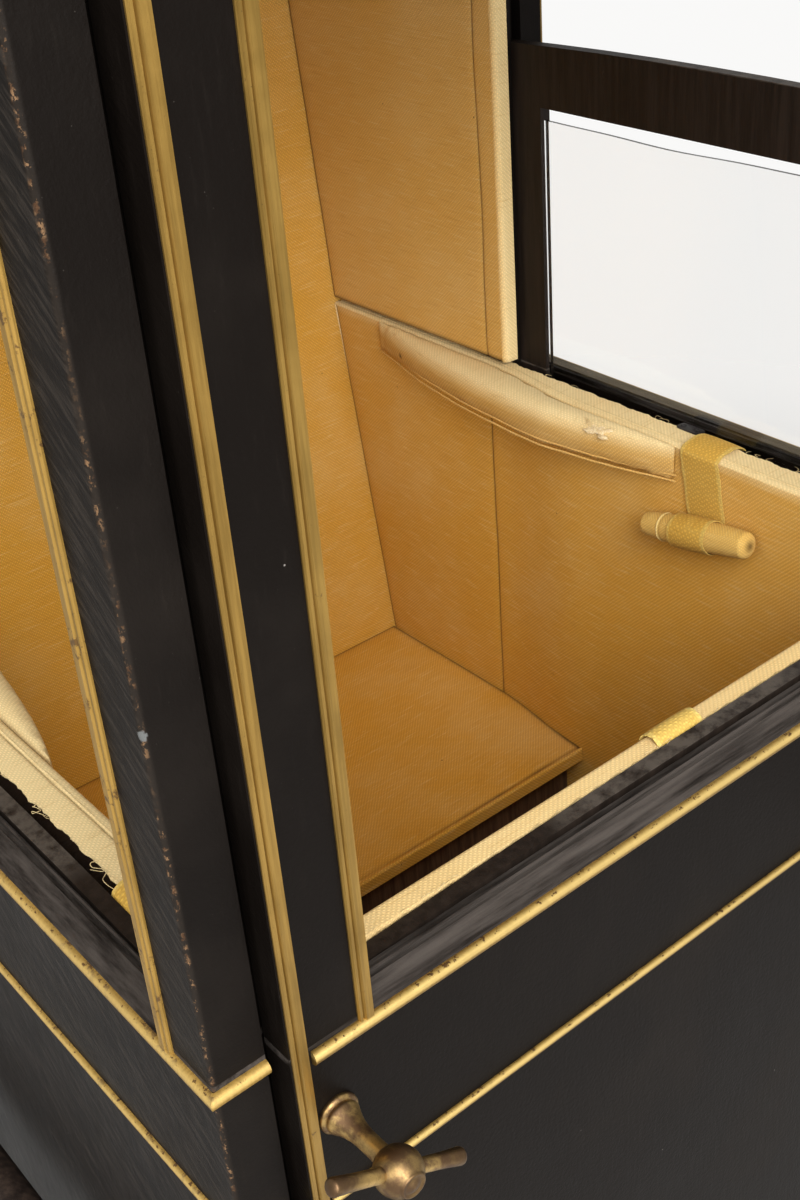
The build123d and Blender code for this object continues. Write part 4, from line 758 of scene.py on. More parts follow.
def quarter_cover(side, hand, cloth):
    """The pad behind a side window. In plan its section runs up the wall side, along the back, along the face
    and round the window edge; sections at each height follow the leaning back."""
    low, high = corners(f"quarter_pad_{hand}")
    depth_near, depth_face = sorted(HALF - abs(x) for x in (low[0], high[0]))
    front, roll = low[1], 5.5 * MM
    fixed = front + 38 * MM
    z = np.linspace(low[2], high[2], 140)[:, None]
    rear = back_y(z, BACK_WALL + FIT)
    turn = np.linspace(0, np.pi / 2, 8)
    y = np.concatenate([
        front + 0 * z, rear, rear + np.linspace(0, 1, 70)[:-1] * (fixed - rear),
        np.linspace(fixed, front + roll, 60) + 0 * z, front + roll - roll * np.sin(turn) + 0 * z,
    ], 1)
    place = np.concatenate([[depth_near] * 2, [depth_face] * 129, depth_face - roll + roll * np.cos(turn)])
    on_face = np.repeat([0.0, 1.0, 0.4], [2, 129, 8])
    seam_at = front + 27 * MM + 1.5 * MM * waver(z, 19, 0.4)
    near = np.minimum(np.minimum(rear - y, z - low[2]), high[2] - z)
    dip = padding(cloth, near, 7 * MM, 0.3 * MM, y, z, 23 + side, 0.15)
    dip = dip + 0.9 * MM * edge_dip(np.abs(y - seam_at), 2.4 * MM)
    rings = grid(side * (HALF - place + on_face * dip), y, z)
    # Dark at the sewn seam, with painted shade along the rear, top and bottom edges; paler along the window
    # edge
    seam = on_face * (edge_dip(np.abs(y - seam_at), 0.7 * MM) + 0.85 * edge_dip(near, 1.4 * MM))
    fade = 0.18 + 0.7 * np.clip(1 - (y - front) / (7 * MM), 0, 1)
    cover = skin(rings, fade, np.clip(seam, 0, 1))
    make_piece(f"quarter_cover_{hand}", [cover], (f"quarter_pad_{hand}",), 0.4)


def arm_reach(distance, length):
    """Reach of an arm pad at a distance behind its front end: two arcs and a straight run to the wall."""
    front = arc_through(ARM_NOSE, ARM_SHOULDER, ARM_WIDEST, 40)
    rear = arc_through(ARM_WIDEST, ARM_TAPER, ARM_TAIL, 40)
    line = np.vstack([front, rear[1:], [[length, 1 * MM]]])
    return np.interp(distance, line[:, 0], line[:, 1])


def pad_section(width, height):
    """Sections of an arm pad, one for each width: a flat top, a rounded upper edge, an upright face with a
    slight belly, and a small round below. Gives distance from the wall and height, each (station, point)."""
    width = width[:, None]
    upper, lower = np.minimum(13 * MM, 0.5 * width), np.minimum(3 * MM, 0.3 * width)
    turn = np.linspace(0, np.pi / 2, 9)
    share = np.linspace(0, 1, 11)[1:-1]
    still, row = 0 * width, 0 * width * share
    belly = np.minimum(1.5 * MM, 0.1 * width) * np.sin(np.pi * share)
    across = np.concatenate([
        still, (width - lower) * share, width - lower + lower * np.sin(turn),
        width + (belly - belly.max()) * 0.6, width - upper + upper * np.cos(turn),
        (width - upper) * (1 - share), still, row,
    ], 1)
    upright = np.concatenate([
        still, row, lower - lower * np.cos(turn), lower + (height - upper - lower) * share,
        height - upper + upper * np.sin(turn), height + row, height + still, height * (1 - share) + still,
    ], 1)
    return across, upright


def blown_up(piece, room):
    """Stuffs a closed piece: an even remesh, some frames of cloth under pressure with no weight, no point
    moved further than the cap, and the result kept inside the room, which is given as two corners."""
    scene = bpy.context.scene
    remesh = piece.modifiers.new("Remesh", "REMESH")
    remesh.mode = "VOXEL"
    remesh.voxel_size = STUFFING_GRID
    even = bpy.data.meshes.new_from_object(piece.evaluated_get(bpy.context.evaluated_depsgraph_get()))
    piece.modifiers.clear()
    rest = fetch(even.vertices, "co", 3)
    work = bpy.data.objects.new("stuffing_work", even)
    scene.collection.objects.link(work)
    cloth = work.modifiers.new("Cloth", "CLOTH")
    cloth.settings.use_pressure = True
    cloth.settings.uniform_pressure_force = STUFFING_PRESSURE
    cloth.settings.effector_weights.gravity = 0.0
    cloth.point_cache.frame_start, cloth.point_cache.frame_end = 1, STUFFING_FRAMES
    for number in range(1, STUFFING_FRAMES + 1):
        scene.frame_set(number)
    blown = bpy.data.meshes.new_from_object(work.evaluated_get(bpy.context.evaluated_depsgraph_get()))
    move = fetch(blown.vertices, "co", 3) - rest
    bpy.data.objects.remove(work)
    scene.frame_set(1)
    length = np.linalg.norm(move, axis=1, keepdims=True)
    move *= np.minimum(1, STUFFING_CAP / np.maximum(length, 1e-9))
    return even, np.clip(rest + move, *room)


def arm_cushion(side, hand, cloth, simulate):
    """An arm pad: the section of each station follows the plan's width between the lining and the pad's inner
    edge, and is stuffed by the cloth simulation; two pipings run along the face's lower edge."""
    low, high = corners(f"arm_pad_{hand}")
    length = high[1] - low[1]
    distance = np.concatenate([[1.2 * MM, 2.0 * MM, 3.2 * MM], np.linspace(5 * MM, length - 8 * MM, 110)])
    station = low[1] + distance
    wall = lining_depth(station) + 1.0 * MM
    edge = LINING_FACE + arm_reach(distance, length) - 1.2 * MM
    nose = np.clip((distance / (6 * MM)) ** 0.5, 0.45, 1)
    across, upright = pad_section(np.maximum((edge - wall) * nose, 2.0 * MM), high[2] - low[2] - 2.2 * MM)
    rings = grid(side * (HALF - wall[:, None] - across), station[:, None], low[2] + 1.0 * MM + upright)
    piece = make_piece(f"arm_cushion_{hand}", [skin(rings)], (f"arm_pad_{hand}",), 0.8)
    if simulate:
        even, points = blown_up(piece, (low + 0.2 * MM, high - 0.2 * MM))
        even.vertices.foreach_set("co", points.ravel())
        even.update()
        piece.data = even
        subdivide = piece.modifiers.new("Subdivision", "SUBSURF")
        subdivide.levels = subdivide.render_levels = 1
        graph = bpy.context.evaluated_depsgraph_get()
        piece.data = bpy.data.meshes.new_from_object(piece.evaluated_get(graph))
        piece.modifiers.clear()
        piece.data.polygons.foreach_set("use_smooth", [True] * len(piece.data.polygons))
    mesh = piece.data
    co = fetch(mesh.vertices, "co", 3)
    # A painted light and shade gradient: paler over the top and the upper face, darker low on the face, with
    # painted shade where the pad meets the lining
    top = np.clip((co[:, 2] - high[2] + 20 * MM) / (18 * MM), 0, 1)
    seam = 0.6 * edge_dip(HALF - np.abs(co[:, 0]) - lining_depth(co[:, 1]), 1.5 * MM) + 0.14 * (1 - top)
    # A worm hole in the right pad, painted dark as the shade inside it
    if side > 0:
        seam += np.clip(1.6 - np.linalg.norm(co - WORM_HOLE, axis=1) / (2.5 * MM), 0, 1)
    set_values(mesh, "fade", 0.20 + 0.76 * eased(top))
    set_values(mesh, "seam", np.clip(seam, 0, 1))
    cloth_uv(mesh)
    stations = np.linspace(3 * MM, length - 14 * MM, 160)
    reach, wall = LINING_FACE + arm_reach(stations, length), lining_depth(low[1] + stations) + 1.5 * MM
    pipes = []
    for inset, rise in ((2.0 * MM, 6.4 * MM), (0.8 * MM, 1.4 * MM)):
        z = low[2] + rise + 0.4 * MM * waver(stations, 41, 0.09)
        line = grid(side * (HALF - np.maximum(reach - inset, wall)), low[1] + stations, z)
        pipes.append(sweep(line, cloth.welt * 0.65, 8, fade=0.22, seam=0.04))
    make_piece(f"arm_piping_{hand}", pipes)


def seat_cover(cloth):
    """The seat board's cover. Its section runs up the front band, over the rounded edge and back to the
    leaning wall, and is carried across to the side linings; the top dips at its edges, with a sewn line
    behind the front edge."""
    low, high = corners("seat_board")
    roll = 3.2 * MM
    turn = np.linspace(0, np.pi / 2, 7)[1:]
    rear = back_y(high[2], BACK_WALL + FIT)
    y = np.concatenate([
        np.full(6, low[1]), low[1] + roll - roll * np.cos(turn), np.linspace(low[1] + roll, rear, 110)[1:],
        [rear, low[1] + 20 * MM],
    ])
    z = np.concatenate([
        np.linspace(low[2], high[2] - roll, 6), high[2] - roll + roll * np.sin(turn), np.full(109, high[2]),
        [low[2], low[2]],
    ])
    half = HALF - lining_depth(y) - FIT
    x = np.linspace(-1, 1, 150)[:, None] * half
    on_top = z > high[2] - SMALL
    near = np.minimum(half - np.abs(x), rear - y)
    sewn = np.abs(y - (low[1] + 6.5 * MM) - 0.8 * MM * waver(x, 3, 0.3))
    dip = padding(cloth, near, 10 * MM, 0.5 * MM, x, y, 47, 0.25) + 1.3 * MM * edge_dip(sewn, 1.6 * MM)
    # Dark at the sewn line; the darkening along the side and back edges is painted shade
    seam = on_top * (0.9 * edge_dip(sewn, 0.8 * MM) + 0.8 * edge_dip(near, 1.8 * MM))
    cover = skin(grid(x, y, z - on_top * dip), 0.0, np.clip(seam, 0, 1))
    make_piece("seat_cover", [cover], ("seat_board",), 0.35)


def door_cover(cloth):
    """The door's lining. Its section in depth and height is carried across the door; the top is the pale
    strip beside the sash pocket, ragged along the pocket's edge."""
    low, high = corners("door_lining")
    lip = corners("door_frame")[1][1] + FIT
    opening = corners("door_panel")[1][0] - FIT
    floor = corners("door_sash")[0][2] - 5 * MM + FIT
    roll = 3.5 * MM
    turn = np.linspace(0, np.pi / 2, 6)[1:]
    y = np.concatenate([
        [lip, lip, low[1]], np.full(6, low[1]), np.linspace(low[1], high[1] - roll, 10)[1:],
        high[1] - roll + roll * np.sin(turn), np.full(80, high[1]),
    ])
    z = np.concatenate([
        [low[2], floor, floor], np.linspace(floor, high[2], 7)[1:], np.full(9, high[2]),
        high[2] - roll + roll * np.cos(turn), np.linspace(high[2] - roll, low[2], 81)[1:],
    ])
    wide = np.linspace(-opening, opening, 150)
    x = np.concatenate([[low[0], -opening - 0.1 * MM], wide, [opening + 0.1 * MM, high[0]]])[:, None]
    outside = np.abs(x) > opening
    on_face = y > high[1] - SMALL
    near = np.minimum(high[0] - np.abs(x), z - low[2])
    dip = padding(cloth, near, 9 * MM, 0.3 * MM, x, z, 53, 0.2)
    at_pocket = (np.abs(y - low[1]) < SMALL) & (z > high[2] - 1 * MM) & ~outside
    place = np.where(outside, np.maximum(y, lip), y) - on_face * dip
    place = place + at_pocket * 0.9 * MM * (1 + waver(x, 59, 0.017))
    # Paler along the top strip; the darkening along the face's side and lower edges is painted shade
    fade = np.clip((z - (high[2] - 5 * MM)) / (4 * MM), 0, 1) * (0.70 + 0.05 * waver(x, 5, 0.2))
    seam = on_face * 0.8 * edge_dip(near, 1.8 * MM)
    cover = skin(grid(x, place, z), np.clip(fade, 0, 1), seam)
    make_piece("door_cover", [cover], ("door_lining",), 0.25, "door")


# Straps and toggles
def strap_path(start, face, drop):
    """Depth and height along a strap: out of the pocket from the start in an arch over the lining's edge,
    down the face by the drop and once round the toggle. Heights are measured from the lining's top."""
    down, spring, rise = face + 1.5 * MM, 4 * MM, 8.2 * MM
    reach = (down - start) / 2
    arch = np.linspace(np.pi, 0, 40)
    radius = TOGGLE_RADIUS + 1.2 * MM
    loop = np.linspace(np.pi, 2.96 * np.pi, 48)[1:]
    depth = [start + reach + reach * np.cos(arch), np.full(24, down), down + radius + radius * np.cos(loop)]
    height = [
        rise * np.sin(arch) - spring, np.linspace(-spring, -drop, 25)[1:], -drop + radius * np.sin(loop),
    ]
    return np.concatenate(depth), np.concatenate(height)


def ribbon(depth, height, seed):
    """A woven strap: a flat oval carried along a path in depth and height, its edges wavering."""
    along = np.gradient(np.stack([depth, height], -1), axis=0)
    along /= np.linalg.norm(along, axis=1, keepdims=True)
    share = np.linspace(-1, 1, 22)
    across = np.concatenate([share, share[::-1]])
    oval = np.sqrt(1 - 0.85 * share**2)
    lift = np.concatenate([oval, -oval]) * STRAP_THICKNESS / 2
    run = np.linspace(0, 1, len(depth))[:, None]
    edge = across * STRAP_WIDTH / 2 * (0.975 + 0.024 * waver(run + across, seed, 0.11))
    return depth[:, None] - along[:, 1:] * lift, edge, height[:, None] + along[:, :1] * lift


def leaned(edge, height):
    """Turns the hanging part of a strap forward in the wall's plane; the turn grows over its first 10 mm."""
    lean = STRAP_LEAN * eased(np.clip(-height / (10 * MM), 0, 1))
    return edge * np.cos(lean) + height * np.sin(lean), height * np.cos(lean) - edge * np.sin(lean)


def strap(hand, rings, paler, *place):
    """A window strap from its rings of points, paler along the two rows of points at each of its edges."""
    pale = np.full(rings.shape[:2], 0.25)
    pale[:, [0, 1, 20, 21, 22, 23, 42, 43]] = 0.60
    make_piece(f"window_strap_{hand}", [skin(rings, pale + paler)], *place, finishes=("strap_web",))


def straps():
    """The three window straps, each a ribbon, on the side linings and on the door's."""
    for side, hand in SIDES:
        start = HALF - np.abs(corners(f"strap_{hand}")[:, 0]).max()
        d, edge, h = ribbon(*strap_path(start, LINING_SWELLED, TOGGLE_DROP), 61 + side)
        edge, h = leaned(edge, h)
        rings = grid(side * (HALF - d), STRAP_AT[side] + edge, LINING_TOP + h)
        strap(hand, rings, 0.0, (f"strap_{hand}",))
    low, high = corners("door_strap")
    face = corners("door_lining")[1][1]
    middle = corners("door_toggle")[:, 2].mean()
    d, edge, h = ribbon(*strap_path(low[1] - face + FIT, 0.0, LINING_TOP - middle), 67)
    rings = grid((low[0] + high[0]) / 2 + edge, face + d, LINING_TOP + h)
    strap("door", rings, 0.25, ("door_strap",), None, "door")


def toggle_profile(length, radius):
    """(distance, radius) along a cloth-covered toggle, and how pale and how dark each ring is: a barrel with
    rounded ends, a raised sewn thread, and a dark end painted as the shade of a small hole."""
    t = np.linspace(-1, 1, 110)

    def bell(at, reach):
        """1 at a place along the toggle, falling away on both sides."""
        return np.exp(-(((t - at) / reach) ** 2))

    barrel = radius * (0.60 + 0.40 * np.sqrt(1 - 0.8 * t**2)) * (1 - 0.05 * t)
    ends = np.sqrt(np.clip(1 - np.clip((np.abs(t) - 0.92) / 0.08, 0, 1) ** 2, 0.01, 1))
    raised = 0.8 * MM * bell(0.58, 0.012) + 0.5 * MM * bell(-0.12, 0.02)
    pale = 0.22 + 0.75 * bell(0.58, 0.014)
    # Dark rings beside the raised threads, and painted shade for the small hole at one end
    dark = 0.5 * bell(0.535, 0.012) + 0.5 * bell(-0.09, 0.012) + 0.8 * (t < -0.995)
    profile = np.stack([t * length / 2, np.minimum(barrel * ends + raised, radius)], -1)
    return profile, pale[:, None], np.clip(dark, 0, 1)[:, None]


def toggles():
    """The toggles at the straps' ends, turned shapes about their own length."""
    profile, pale, dark = toggle_profile(TOGGLE_LENGTH, TOGGLE_RADIUS)
    depth = LINING_SWELLED + 2.7 * MM + TOGGLE_RADIUS
    axis = (0, math.cos(STRAP_LEAN), -math.sin(STRAP_LEAN))
    forward, down = leaned(0.0, -TOGGLE_DROP)
    places = [(side * (HALF - depth), STRAP_AT[side] + forward, LINING_TOP + down) for side, _ in SIDES]
    surfaces = [lathe(profile, place, axis, 40, fade=pale, seam=dark) for place in places]
    make_piece("toggle_covers", surfaces, ("side_toggles",), finishes=("toggle_cloth",))
    surface = lathe(profile, corners("door_toggle").mean(0), (1, 0, 0), 40, fade=pale, seam=dark)
    make_piece("toggle_cover_door", [surface], ("door_toggle",), None, "door", finishes=("toggle_cloth",))


def headlining():
    """The roof's lining: over the plan, the lower of two crossing arcs, softened where they meet."""
    low, high = corners("roof_headlining")
    half, middle, rise = (high - low) / 2, (low + high) / 2, high[2] - low[2]
    share = np.linspace(-1, 1, 80)
    arc = (1 - share**2) * (1 + 0.12 * share**2)
    across, along = rise * arc[:, None], rise * 1.14 * arc
    soft = 6 * MM
    z = -soft * np.log(np.exp(-across / soft) + np.exp(-along / soft))
    x, dy = middle[0] + half[0] * share[:, None], half[1] * share
    outer = low[2] + np.maximum(z - 2.5 * MM, 0.4 * MM)
    inner = grid(x * 0.992, middle[1] + dy * 0.992, np.maximum(outer - 2 * MM, low[2]))
    # Painted shade along the groins, where the two arcs meet
    groin_shade = 0.7 * edge_dip(np.abs(across - along), 4 * MM)
    lining = slab(grid(x, middle[1] + dy, outer), inner, 0.1, groin_shade)
    make_piece("headlining_cloth", [lining], ("roof_headlining",), 0.2, "roof")


# Handle, glass, threads and small parts
def door_handle():
    """The T-shaped handle: a turned rosette and trumpet stem, a ball hub with a ringed boss, and a round
    bar."""
    low, high = corners("door_handle")
    origin = np.array([(low[0] + high[0]) / 2, DOOR_FACE, (low[2] + high[2]) / 2])
    stem = np.array([
        (0, 12.1), (1.2, 12.5), (2.6, 12.3), (3.5, 11.2), (4.0, 9.6), (4.6, 10.3), (5.8, 10.5), (7.2, 9.9),
        (10, 8.6), (14, 7.2), (19, 6.2), (24, 5.75), (34, 5.75), (40, 6.0),
    ]) * MM
    angle = np.linspace(-0.46 * np.pi, 0.30 * np.pi, 34)
    globe = np.stack([HANDLE_HUB + HANDLE_BALL * np.sin(angle), HANDLE_BALL * np.cos(angle)], -1)
    boss = np.array([
        (62.9, 7.9), (63.6, 7.4), (63.7, 6.6), (63.0, 5.9), (63.1, 4.6), (63.9, 3.2), (64.4, 1.6), (64.6, 0.3),
    ]) * MM
    half = np.array([
        (9, 4.3), (13, 4.4), (18, 4.2), (24, 4.2), (30, 4.3), (36, 4.5), (41, 4.8), (45.5, 5.0), (46.6, 4.7),
        (47.4, 3.6), (47.5, 0.4),
    ]) * MM
    soiled = np.concatenate([np.linspace(0.2, 0.55, 34), np.full(len(boss), 0.75)])[:, None]
    dark_ends = 0.85 * np.clip((half[:, :1] - 24 * MM) / (14 * MM), 0, 1)
    out, along = (0, -1, 0), np.array([math.cos(HANDLE_TILT), 0, -math.sin(HANDLE_TILT)])
    hub = origin + (0, -HANDLE_HUB, 0)
    surfaces = [lathe(stem, origin, out, 48), lathe(np.vstack([globe, boss]), origin, out, 48, seam=soiled)]
    surfaces += [lathe(half, hub, end * along, 32, seam=dark_ends) for end in (-1, 1)]
    make_piece("turned_handle", surfaces, ("door_handle",), None, "door", "brass", ("brass",), 55)


def side_panes():
    """The side windows' glass: flat sheets, the right one's upper edge cut a little short and uneven."""
    surfaces = []
    for (_, hand), short in zip(SIDES, (0.0, 1.0)):
        low, high = corners(f"sash_{hand}")
        y = np.linspace(low[1] + PANE_INSET_Y, high[1] - PANE_INSET_Y, 90)[:, None]
        top = high[2] - PANE_INSET_Z - short * (11 * MM + 2.2 * MM * waver(y, 71, 0.5))
        bottom = low[2] + PANE_INSET_Z
        z = bottom + np.array([0.0, 0.98, 1.0]) * (top - bottom)
        middle = (low[0] + high[0]) / 2
        surfaces.append(slab(*(grid(middle + offset, y, z) for offset in (-1.4 * MM, 1.4 * MM))))
    make_piece("side_panes", surfaces, ("side_glass",), None, "cabin", "glass", ("glass",))


def thread(points, radius):
    """A loose thread: a thin round curve through a few points, tapering to its end."""
    points = np.asarray(points)
    t = np.linspace(0, len(points) - 1, 6 * len(points))
    path = np.stack([np.interp(t, np.arange(len(points)), points[:, k]) for k in range(3)], -1)
    for _ in range(3):
        path[1:-1] = (path[:-2] + 2 * path[1:-1] + path[2:]) / 4
    return sweep(path, radius, 5, (0.13, 0.21, 1), np.linspace(1, 0.5, len(path)))


def droop(rng, start, spread, reach):
    """A short thread from a frayed edge: a curve that rises a little and ends a few millimetres on. The
    spread of its bend and the reach that draws its end are in millimetres."""
    t = np.linspace(0, 1, 7)[:, None]
    bend = rng.normal(0, 1, 3) * spread * MM
    end = start + np.array(reach()) * MM
    path = (1 - t) ** 2 * start + 2 * t * (1 - t) * (start + bend + (0, 0, 2 * MM)) + t**2 * end
    return sweep(path, THREAD_RADIUS, 5, (0.1, 0.2, 1), np.linspace(1, 0.5, 7))


def fringe_threads():
    """Loose threads along the frayed edges: thin round curves that droop from the cloth's edge."""
    rng = np.random.default_rng(83)
    cabin, door = [], []
    for side, _ in SIDES:
        edge = side * (HALF - LINING_NEAR - 0.6 * MM)
        for _ in range(SIDE_THREADS):
            start = np.array([edge, rng.uniform(FRONT + 60 * MM, 100 * MM), LINING_TOP])
            cabin.append(droop(rng, start, np.array([1.6, 5, 1.4]), lambda: (
                side * rng.uniform(-1, 3.5), rng.normal(0, 6), rng.uniform(-0.5, 2.5)
            )))
    low, high = corners("door_lining")
    for _ in range(DOOR_THREADS):
        start = np.array([rng.uniform(low[0], high[0]) * 0.9, low[1] + 1.2 * MM, high[2]])
        door.append(droop(rng, start, np.array([5, 1.6, 1.4]), lambda: (
            rng.normal(0, 6), -rng.uniform(-1, 3.5), rng.uniform(-0.5, 2.5)
        )))
    rise = np.linspace(0, 1, 12)
    for turns, y, seed in ((2.3, -0.150, 1), (1.6, -0.222, 2), (1.1, -0.236, 3)):
        swing = rise * turns * 2 * np.pi
        cabin.append(thread(grid(
            -(HALF - LINING_NEAR - 1 * MM) - 5 * MM * rise + 4.0 * MM * rise * np.sin(swing),
            y - 16 * MM * rise + 5.0 * MM * rise * np.cos(swing + seed),
            LINING_TOP + 1.0 * MM + 3.0 * MM * rise * np.sin(swing + 2 * seed) ** 2,
        ), CURL_RADIUS))
    make_piece("edge_threads_cabin", cabin, finishes=("loose_thread",))
    make_piece("edge_threads_door", door, body="door", finishes=("loose_thread",))


def torn_patch():
    """The tear in the right arm pad: low lumps of stuffing that stand in the cloth, ringed by loose fibres."""
    rng = np.random.default_rng(97)
    lumps = []
    up = np.linspace(-0.49 * np.pi, 0.49 * np.pi, 12)[:, None]
    turn = np.linspace(0, 2 * np.pi, 20, endpoint=False)
    for _ in range(TEAR_LUMPS):
        across = rng.uniform(-3.5, 6)
        centre = TEAR + np.array([across, rng.uniform(-12, 11), -0.2 - 0.05 * (across - 6) ** 2]) * MM
        size = np.array([rng.uniform(2.4, 3.8), rng.uniform(3, 6), rng.uniform(1.1, 1.6)]) * MM
        swell = 1 + 0.14 * np.sin(3 * turn + 5 * up + rng.uniform(0, 6))
        ball = grid(np.cos(up) * np.cos(turn) * swell, np.cos(up) * np.sin(turn) * swell, np.sin(up))
        lumps.append(skin(centre + ball * size))
    for _ in range(TEAR_FIBRES):
        at = rng.uniform(0, 2 * np.pi)
        start = TEAR + np.array([2 + 5 * math.cos(at), 12 * math.sin(at), 1.5 + rng.uniform(0, 1)]) * MM
        end = start + rng.normal(0, 1, 3) * (3, 4, 0.8) * MM
        fibre = thread([start, (start + end) / 2 + (0, 0, 1.4 * MM), end], FIBRE_RADIUS)
        fibre.material = 1
        lumps.append(fibre)
    make_piece("torn_stuffing", lumps, finishes=("stuffing", "loose_thread"))


def strap_plate():
    """The small dark plate at the right sash pocket's edge, a rounded oblong with a screw near each end."""
    x, y = PLATE_AT
    turn = np.linspace(0, 2 * np.pi, 40, endpoint=False)
    round_x, round_y = (np.sign(v) * np.abs(v) ** 0.35 for v in (np.cos(turn), np.sin(turn)))
    size, lift = np.array([(1.0, 0.1), (1.0, 1.2), (0.94, 1.6)]).T[:, :, None]
    rings = grid(x + 5.5 * MM * round_x * size, y + 13 * MM * round_y * size, LINING_TOP + lift * MM)
    head = np.array([(0, 2.6), (0.7, 2.6), (1.0, 2.2), (1.0, 0.8), (0.6, 0.3)]) * MM
    screws = [lathe(head, (x, y + end * 8 * MM, LINING_TOP + 1.4 * MM), (0, 0, 1), 20) for end in (-1, 1)]
    make_piece("strap_plate", [skin(rings), *screws], slot="iron", finishes=("iron",))


def carried_finishes():
    """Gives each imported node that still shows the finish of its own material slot, or a closer one."""
    finishes = {row["node"]: row["material_slot"] for row in frame["record"]["subparts"]}
    finishes.update(dict.fromkeys(("door_frame", "door_panel"), "black_door"), gilt_left="gilt_worn")
    panels = [f"{panel}_{hand}" for panel in ("panel_lower", "quarter_panel") for _, hand in SIDES]
    finishes.update(dict.fromkeys(panels, "black_wood"))
    for name, node in NODES.items():
        if not node.hide_render:
            node.data.materials.clear()
            node.data.materials.append(MATERIALS[finishes[name]])


# Stage: each lamp's name, its setting, its place, the point that it faces, and its size
LAMPS = (
    ("key_lamp", "key", (-1.2, -2.4, 3.0), (0.05, 0.0, 0.8), 1.6),
    ("front_lamp", "front", (-0.7, -2.9, 1.75), (0.05, 0.3, 1.0), 1.8),
    ("fill_lamp", "fill", (-2.7, -1.1, 2.1), (0.2, 0.1, 0.9), 1.6),
)
FLOOR_REACH = 40.0


def lamp(name, power, place, target, size):
    """A square soft lamp that faces a point."""
    data = bpy.data.lights.new(name, "AREA")
    data.size, data.energy = size, power
    thing = bpy.data.objects.new(name, data)
    thing.location = place
    thing.rotation_euler = (Vector(target) - thing.location).to_track_quat("-Z", "Y").to_euler()
    bpy.context.scene.collection.objects.link(thing)


def white_to_the_eye(tree, shader, near=1.0):
    """Mixes a shader with plain white light for camera and transmission rays, by a share."""
    path = tree.nodes.new("ShaderNodeLightPath").outputs
    rays = {0: path["Is Camera Ray"], 1: path["Is Transmission Ray"]}
    seen = add_node(tree, "ShaderNodeMath", rays, operation="MAXIMUM")
    seen = add_node(tree, "ShaderNodeMath", {0: seen, 1: near}, operation="MULTIPLY")
    white = add_node(tree, "ShaderNodeEmission", {"Color": (0.95, 0.945, 0.935, 1), "Strength": 1.0})
    return add_node(tree, "ShaderNodeMixShader", {0: seen, 1: shader, 2: white})


def build_stage(stage):
    """The camera at the photograph's place, a pale floor that keeps the chair's shadow, and soft lamps."""
    scene = bpy.context.scene
    camera = bpy.data.objects.new("camera", bpy.data.cameras.new("camera"))
    camera.location = stage.place
    camera.rotation_euler = [math.radians(v) for v in stage.turn]
    camera.data.lens = stage.lens
    camera.data.clip_start = 0.02
    scene.collection.objects.link(camera)
    scene.camera = camera
    scene.view_settings.view_transform = "Standard"

    mesh = bpy.data.meshes.new("floor")
    square = [(x * FLOOR_REACH, y * FLOOR_REACH, 0) for x, y in ((-1, -1), (1, -1), (1, 1), (-1, 1))]
    mesh.from_pydata(square, [], [(0, 1, 2, 3)])
    floor = bpy.data.objects.new("floor", mesh)
    scene.collection.objects.link(floor)
    shade = Shade("floor")
    shade.finish((0.60, 0.596, 0.588, 1), 0.8)
    away = shade.node("ShaderNodeVectorMath", {0: shade.object}, 1, operation="LENGTH")
    surface = white_to_the_eye(shade.tree, shade.shader.outputs[0], shade.step(away, 0.9, 2.2))
    shade.tree.links.new(surface, shade.tree.nodes["Material Output"].inputs[0])
    mesh.materials.append(shade.material)

    world = bpy.data.worlds.new("room")
    scene.world = world
    world.use_nodes = True
    room = world.node_tree.nodes["Background"]
    room.inputs[0].default_value = (1.0, 0.985, 0.96, 1)
    room.inputs[1].default_value = stage.sky
    surface = white_to_the_eye(world.node_tree, room.outputs[0])
    world.node_tree.links.new(surface, world.node_tree.nodes["World Output"].inputs[0])
    for name, setting, *place in LAMPS:
        lamp(name, getattr(stage, setting), *place)


# Operators, one for each piece or group of like pieces
class PieceOperator:
    """What the chair's operators share: each can be undone, and repeated with other settings."""

    bl_options = {"REGISTER", "UNDO"}


class SEDAN_OT_stage(PieceOperator, bpy.types.Operator):
    """Sets the camera, the floor and the lamps."""

    bl_idname = "sedan.stage"
    bl_label = "Stage"

    def execute(self, context):
        build_stage(context.scene.sedan_stage)
        return {"FINISHED"}


class SEDAN_OT_finishes(PieceOperator, bpy.types.Operator):
    """Mixes every finish: cloth, japan, gilding, brass, iron, woods and glass."""

    bl_idname = "sedan.finishes"
    bl_label = "Finishes"

    def execute(self, context):
        MATERIALS.update(make_materials(context.scene))
        return {"FINISHED"}


class SEDAN_OT_linings(PieceOperator, bpy.types.Operator):
    """Lines the back, the lower sides and the door with padded cloth."""

    bl_idname = "sedan.linings"
    bl_label = "Linings"

    def execute(self, context):
        cloth = context.scene.sedan_cloth
        back_cover(cloth)
        for side, hand in SIDES:
            side_lining(side, hand, cloth)
        door_cover(cloth)
        return {"FINISHED"}


class SEDAN_OT_pads(PieceOperator, bpy.types.Operator):
    """Stuffs the quarter pads, the arm pads and the seat."""

    bl_idname = "sedan.pads"
    bl_label = "Pads"

    def execute(self, context):
        cloth = context.scene.sedan_cloth
        for side, hand in SIDES:
            quarter_cover(side, hand, cloth)
            arm_cushion(side, hand, cloth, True)
        seat_cover(cloth)
        return {"FINISHED"}


class SEDAN_OT_straps(PieceOperator, bpy.types.Operator):
    """Hangs the window straps and their toggles."""

    bl_idname = "sedan.straps"
    bl_label = "Straps"

    def execute(self, context):
        straps()
        toggles()
        return {"FINISHED"}


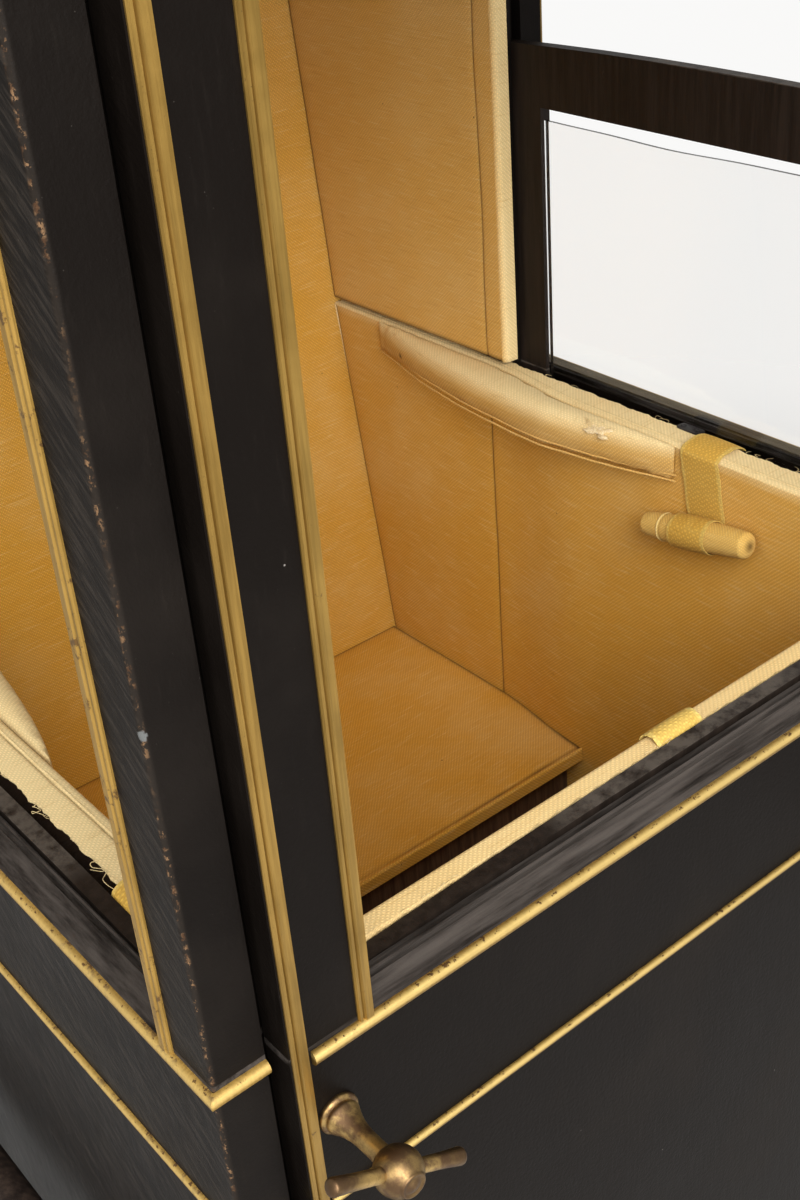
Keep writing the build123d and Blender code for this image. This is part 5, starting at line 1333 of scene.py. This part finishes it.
class SEDAN_OT_headlining(PieceOperator, bpy.types.Operator):
    """Lines the vaulted roof."""

    bl_idname = "sedan.headlining"
    bl_label = "Headlining"

    def execute(self, context):
        headlining()
        return {"FINISHED"}


class SEDAN_OT_handle(PieceOperator, bpy.types.Operator):
    """Turns the door's handle."""

    bl_idname = "sedan.handle"
    bl_label = "Door handle"

    def execute(self, context):
        door_handle()
        return {"FINISHED"}


class SEDAN_OT_panes(PieceOperator, bpy.types.Operator):
    """Cuts the side windows' glass."""

    bl_idname = "sedan.panes"
    bl_label = "Side panes"

    def execute(self, context):
        side_panes()
        return {"FINISHED"}


class SEDAN_OT_threads(PieceOperator, bpy.types.Operator):
    """Frays the cloth's edges along the sash pockets."""

    bl_idname = "sedan.threads"
    bl_label = "Loose threads"

    def execute(self, context):
        fringe_threads()
        torn_patch()
        strap_plate()
        return {"FINISHED"}


class SEDAN_OT_carried(PieceOperator, bpy.types.Operator):
    """Finishes the frame, panels, mouldings, sashes, poles and irons."""

    bl_idname = "sedan.carried"
    bl_label = "Frame and mouldings"

    def execute(self, context):
        carried_finishes()
        return {"FINISHED"}


STEPS = (
    SEDAN_OT_stage, SEDAN_OT_finishes, SEDAN_OT_linings, SEDAN_OT_pads, SEDAN_OT_straps,
    SEDAN_OT_headlining, SEDAN_OT_handle, SEDAN_OT_panes, SEDAN_OT_threads, SEDAN_OT_carried,
)


class SEDAN_PT_panel(bpy.types.Panel):
    """Lists the chair's settings and operators in the 3D view's sidebar."""

    bl_idname = "SEDAN_PT_panel"
    bl_label = "Sedan chair"
    bl_space_type = "VIEW_3D"
    bl_region_type = "UI"
    bl_category = "Sedan chair"

    def draw(self, context):
        for name, group in GROUPS.items():
            box = self.layout.box()
            for key in group.__annotations__:
                box.prop(getattr(context.scene, name), key)
        for step in STEPS:
            self.layout.operator(step.bl_idname)


def register():
    for group in GROUPS.values():
        bpy.utils.register_class(group)
    for name, group in GROUPS.items():
        setattr(bpy.types.Scene, name, PointerProperty(type=group))
    for step in (*STEPS, SEDAN_PT_panel):
        bpy.utils.register_class(step)


def unregister():
    for step in (SEDAN_PT_panel, *reversed(STEPS)):
        bpy.utils.unregister_class(step)
    for name in GROUPS:
        delattr(bpy.types.Scene, name)
    for group in GROUPS.values():
        bpy.utils.unregister_class(group)


def main():
    register()
    for step in STEPS:
        group, action = step.bl_idname.split(".")
        getattr(getattr(bpy.ops, group), action)()


if __name__ == "__main__":
    main()
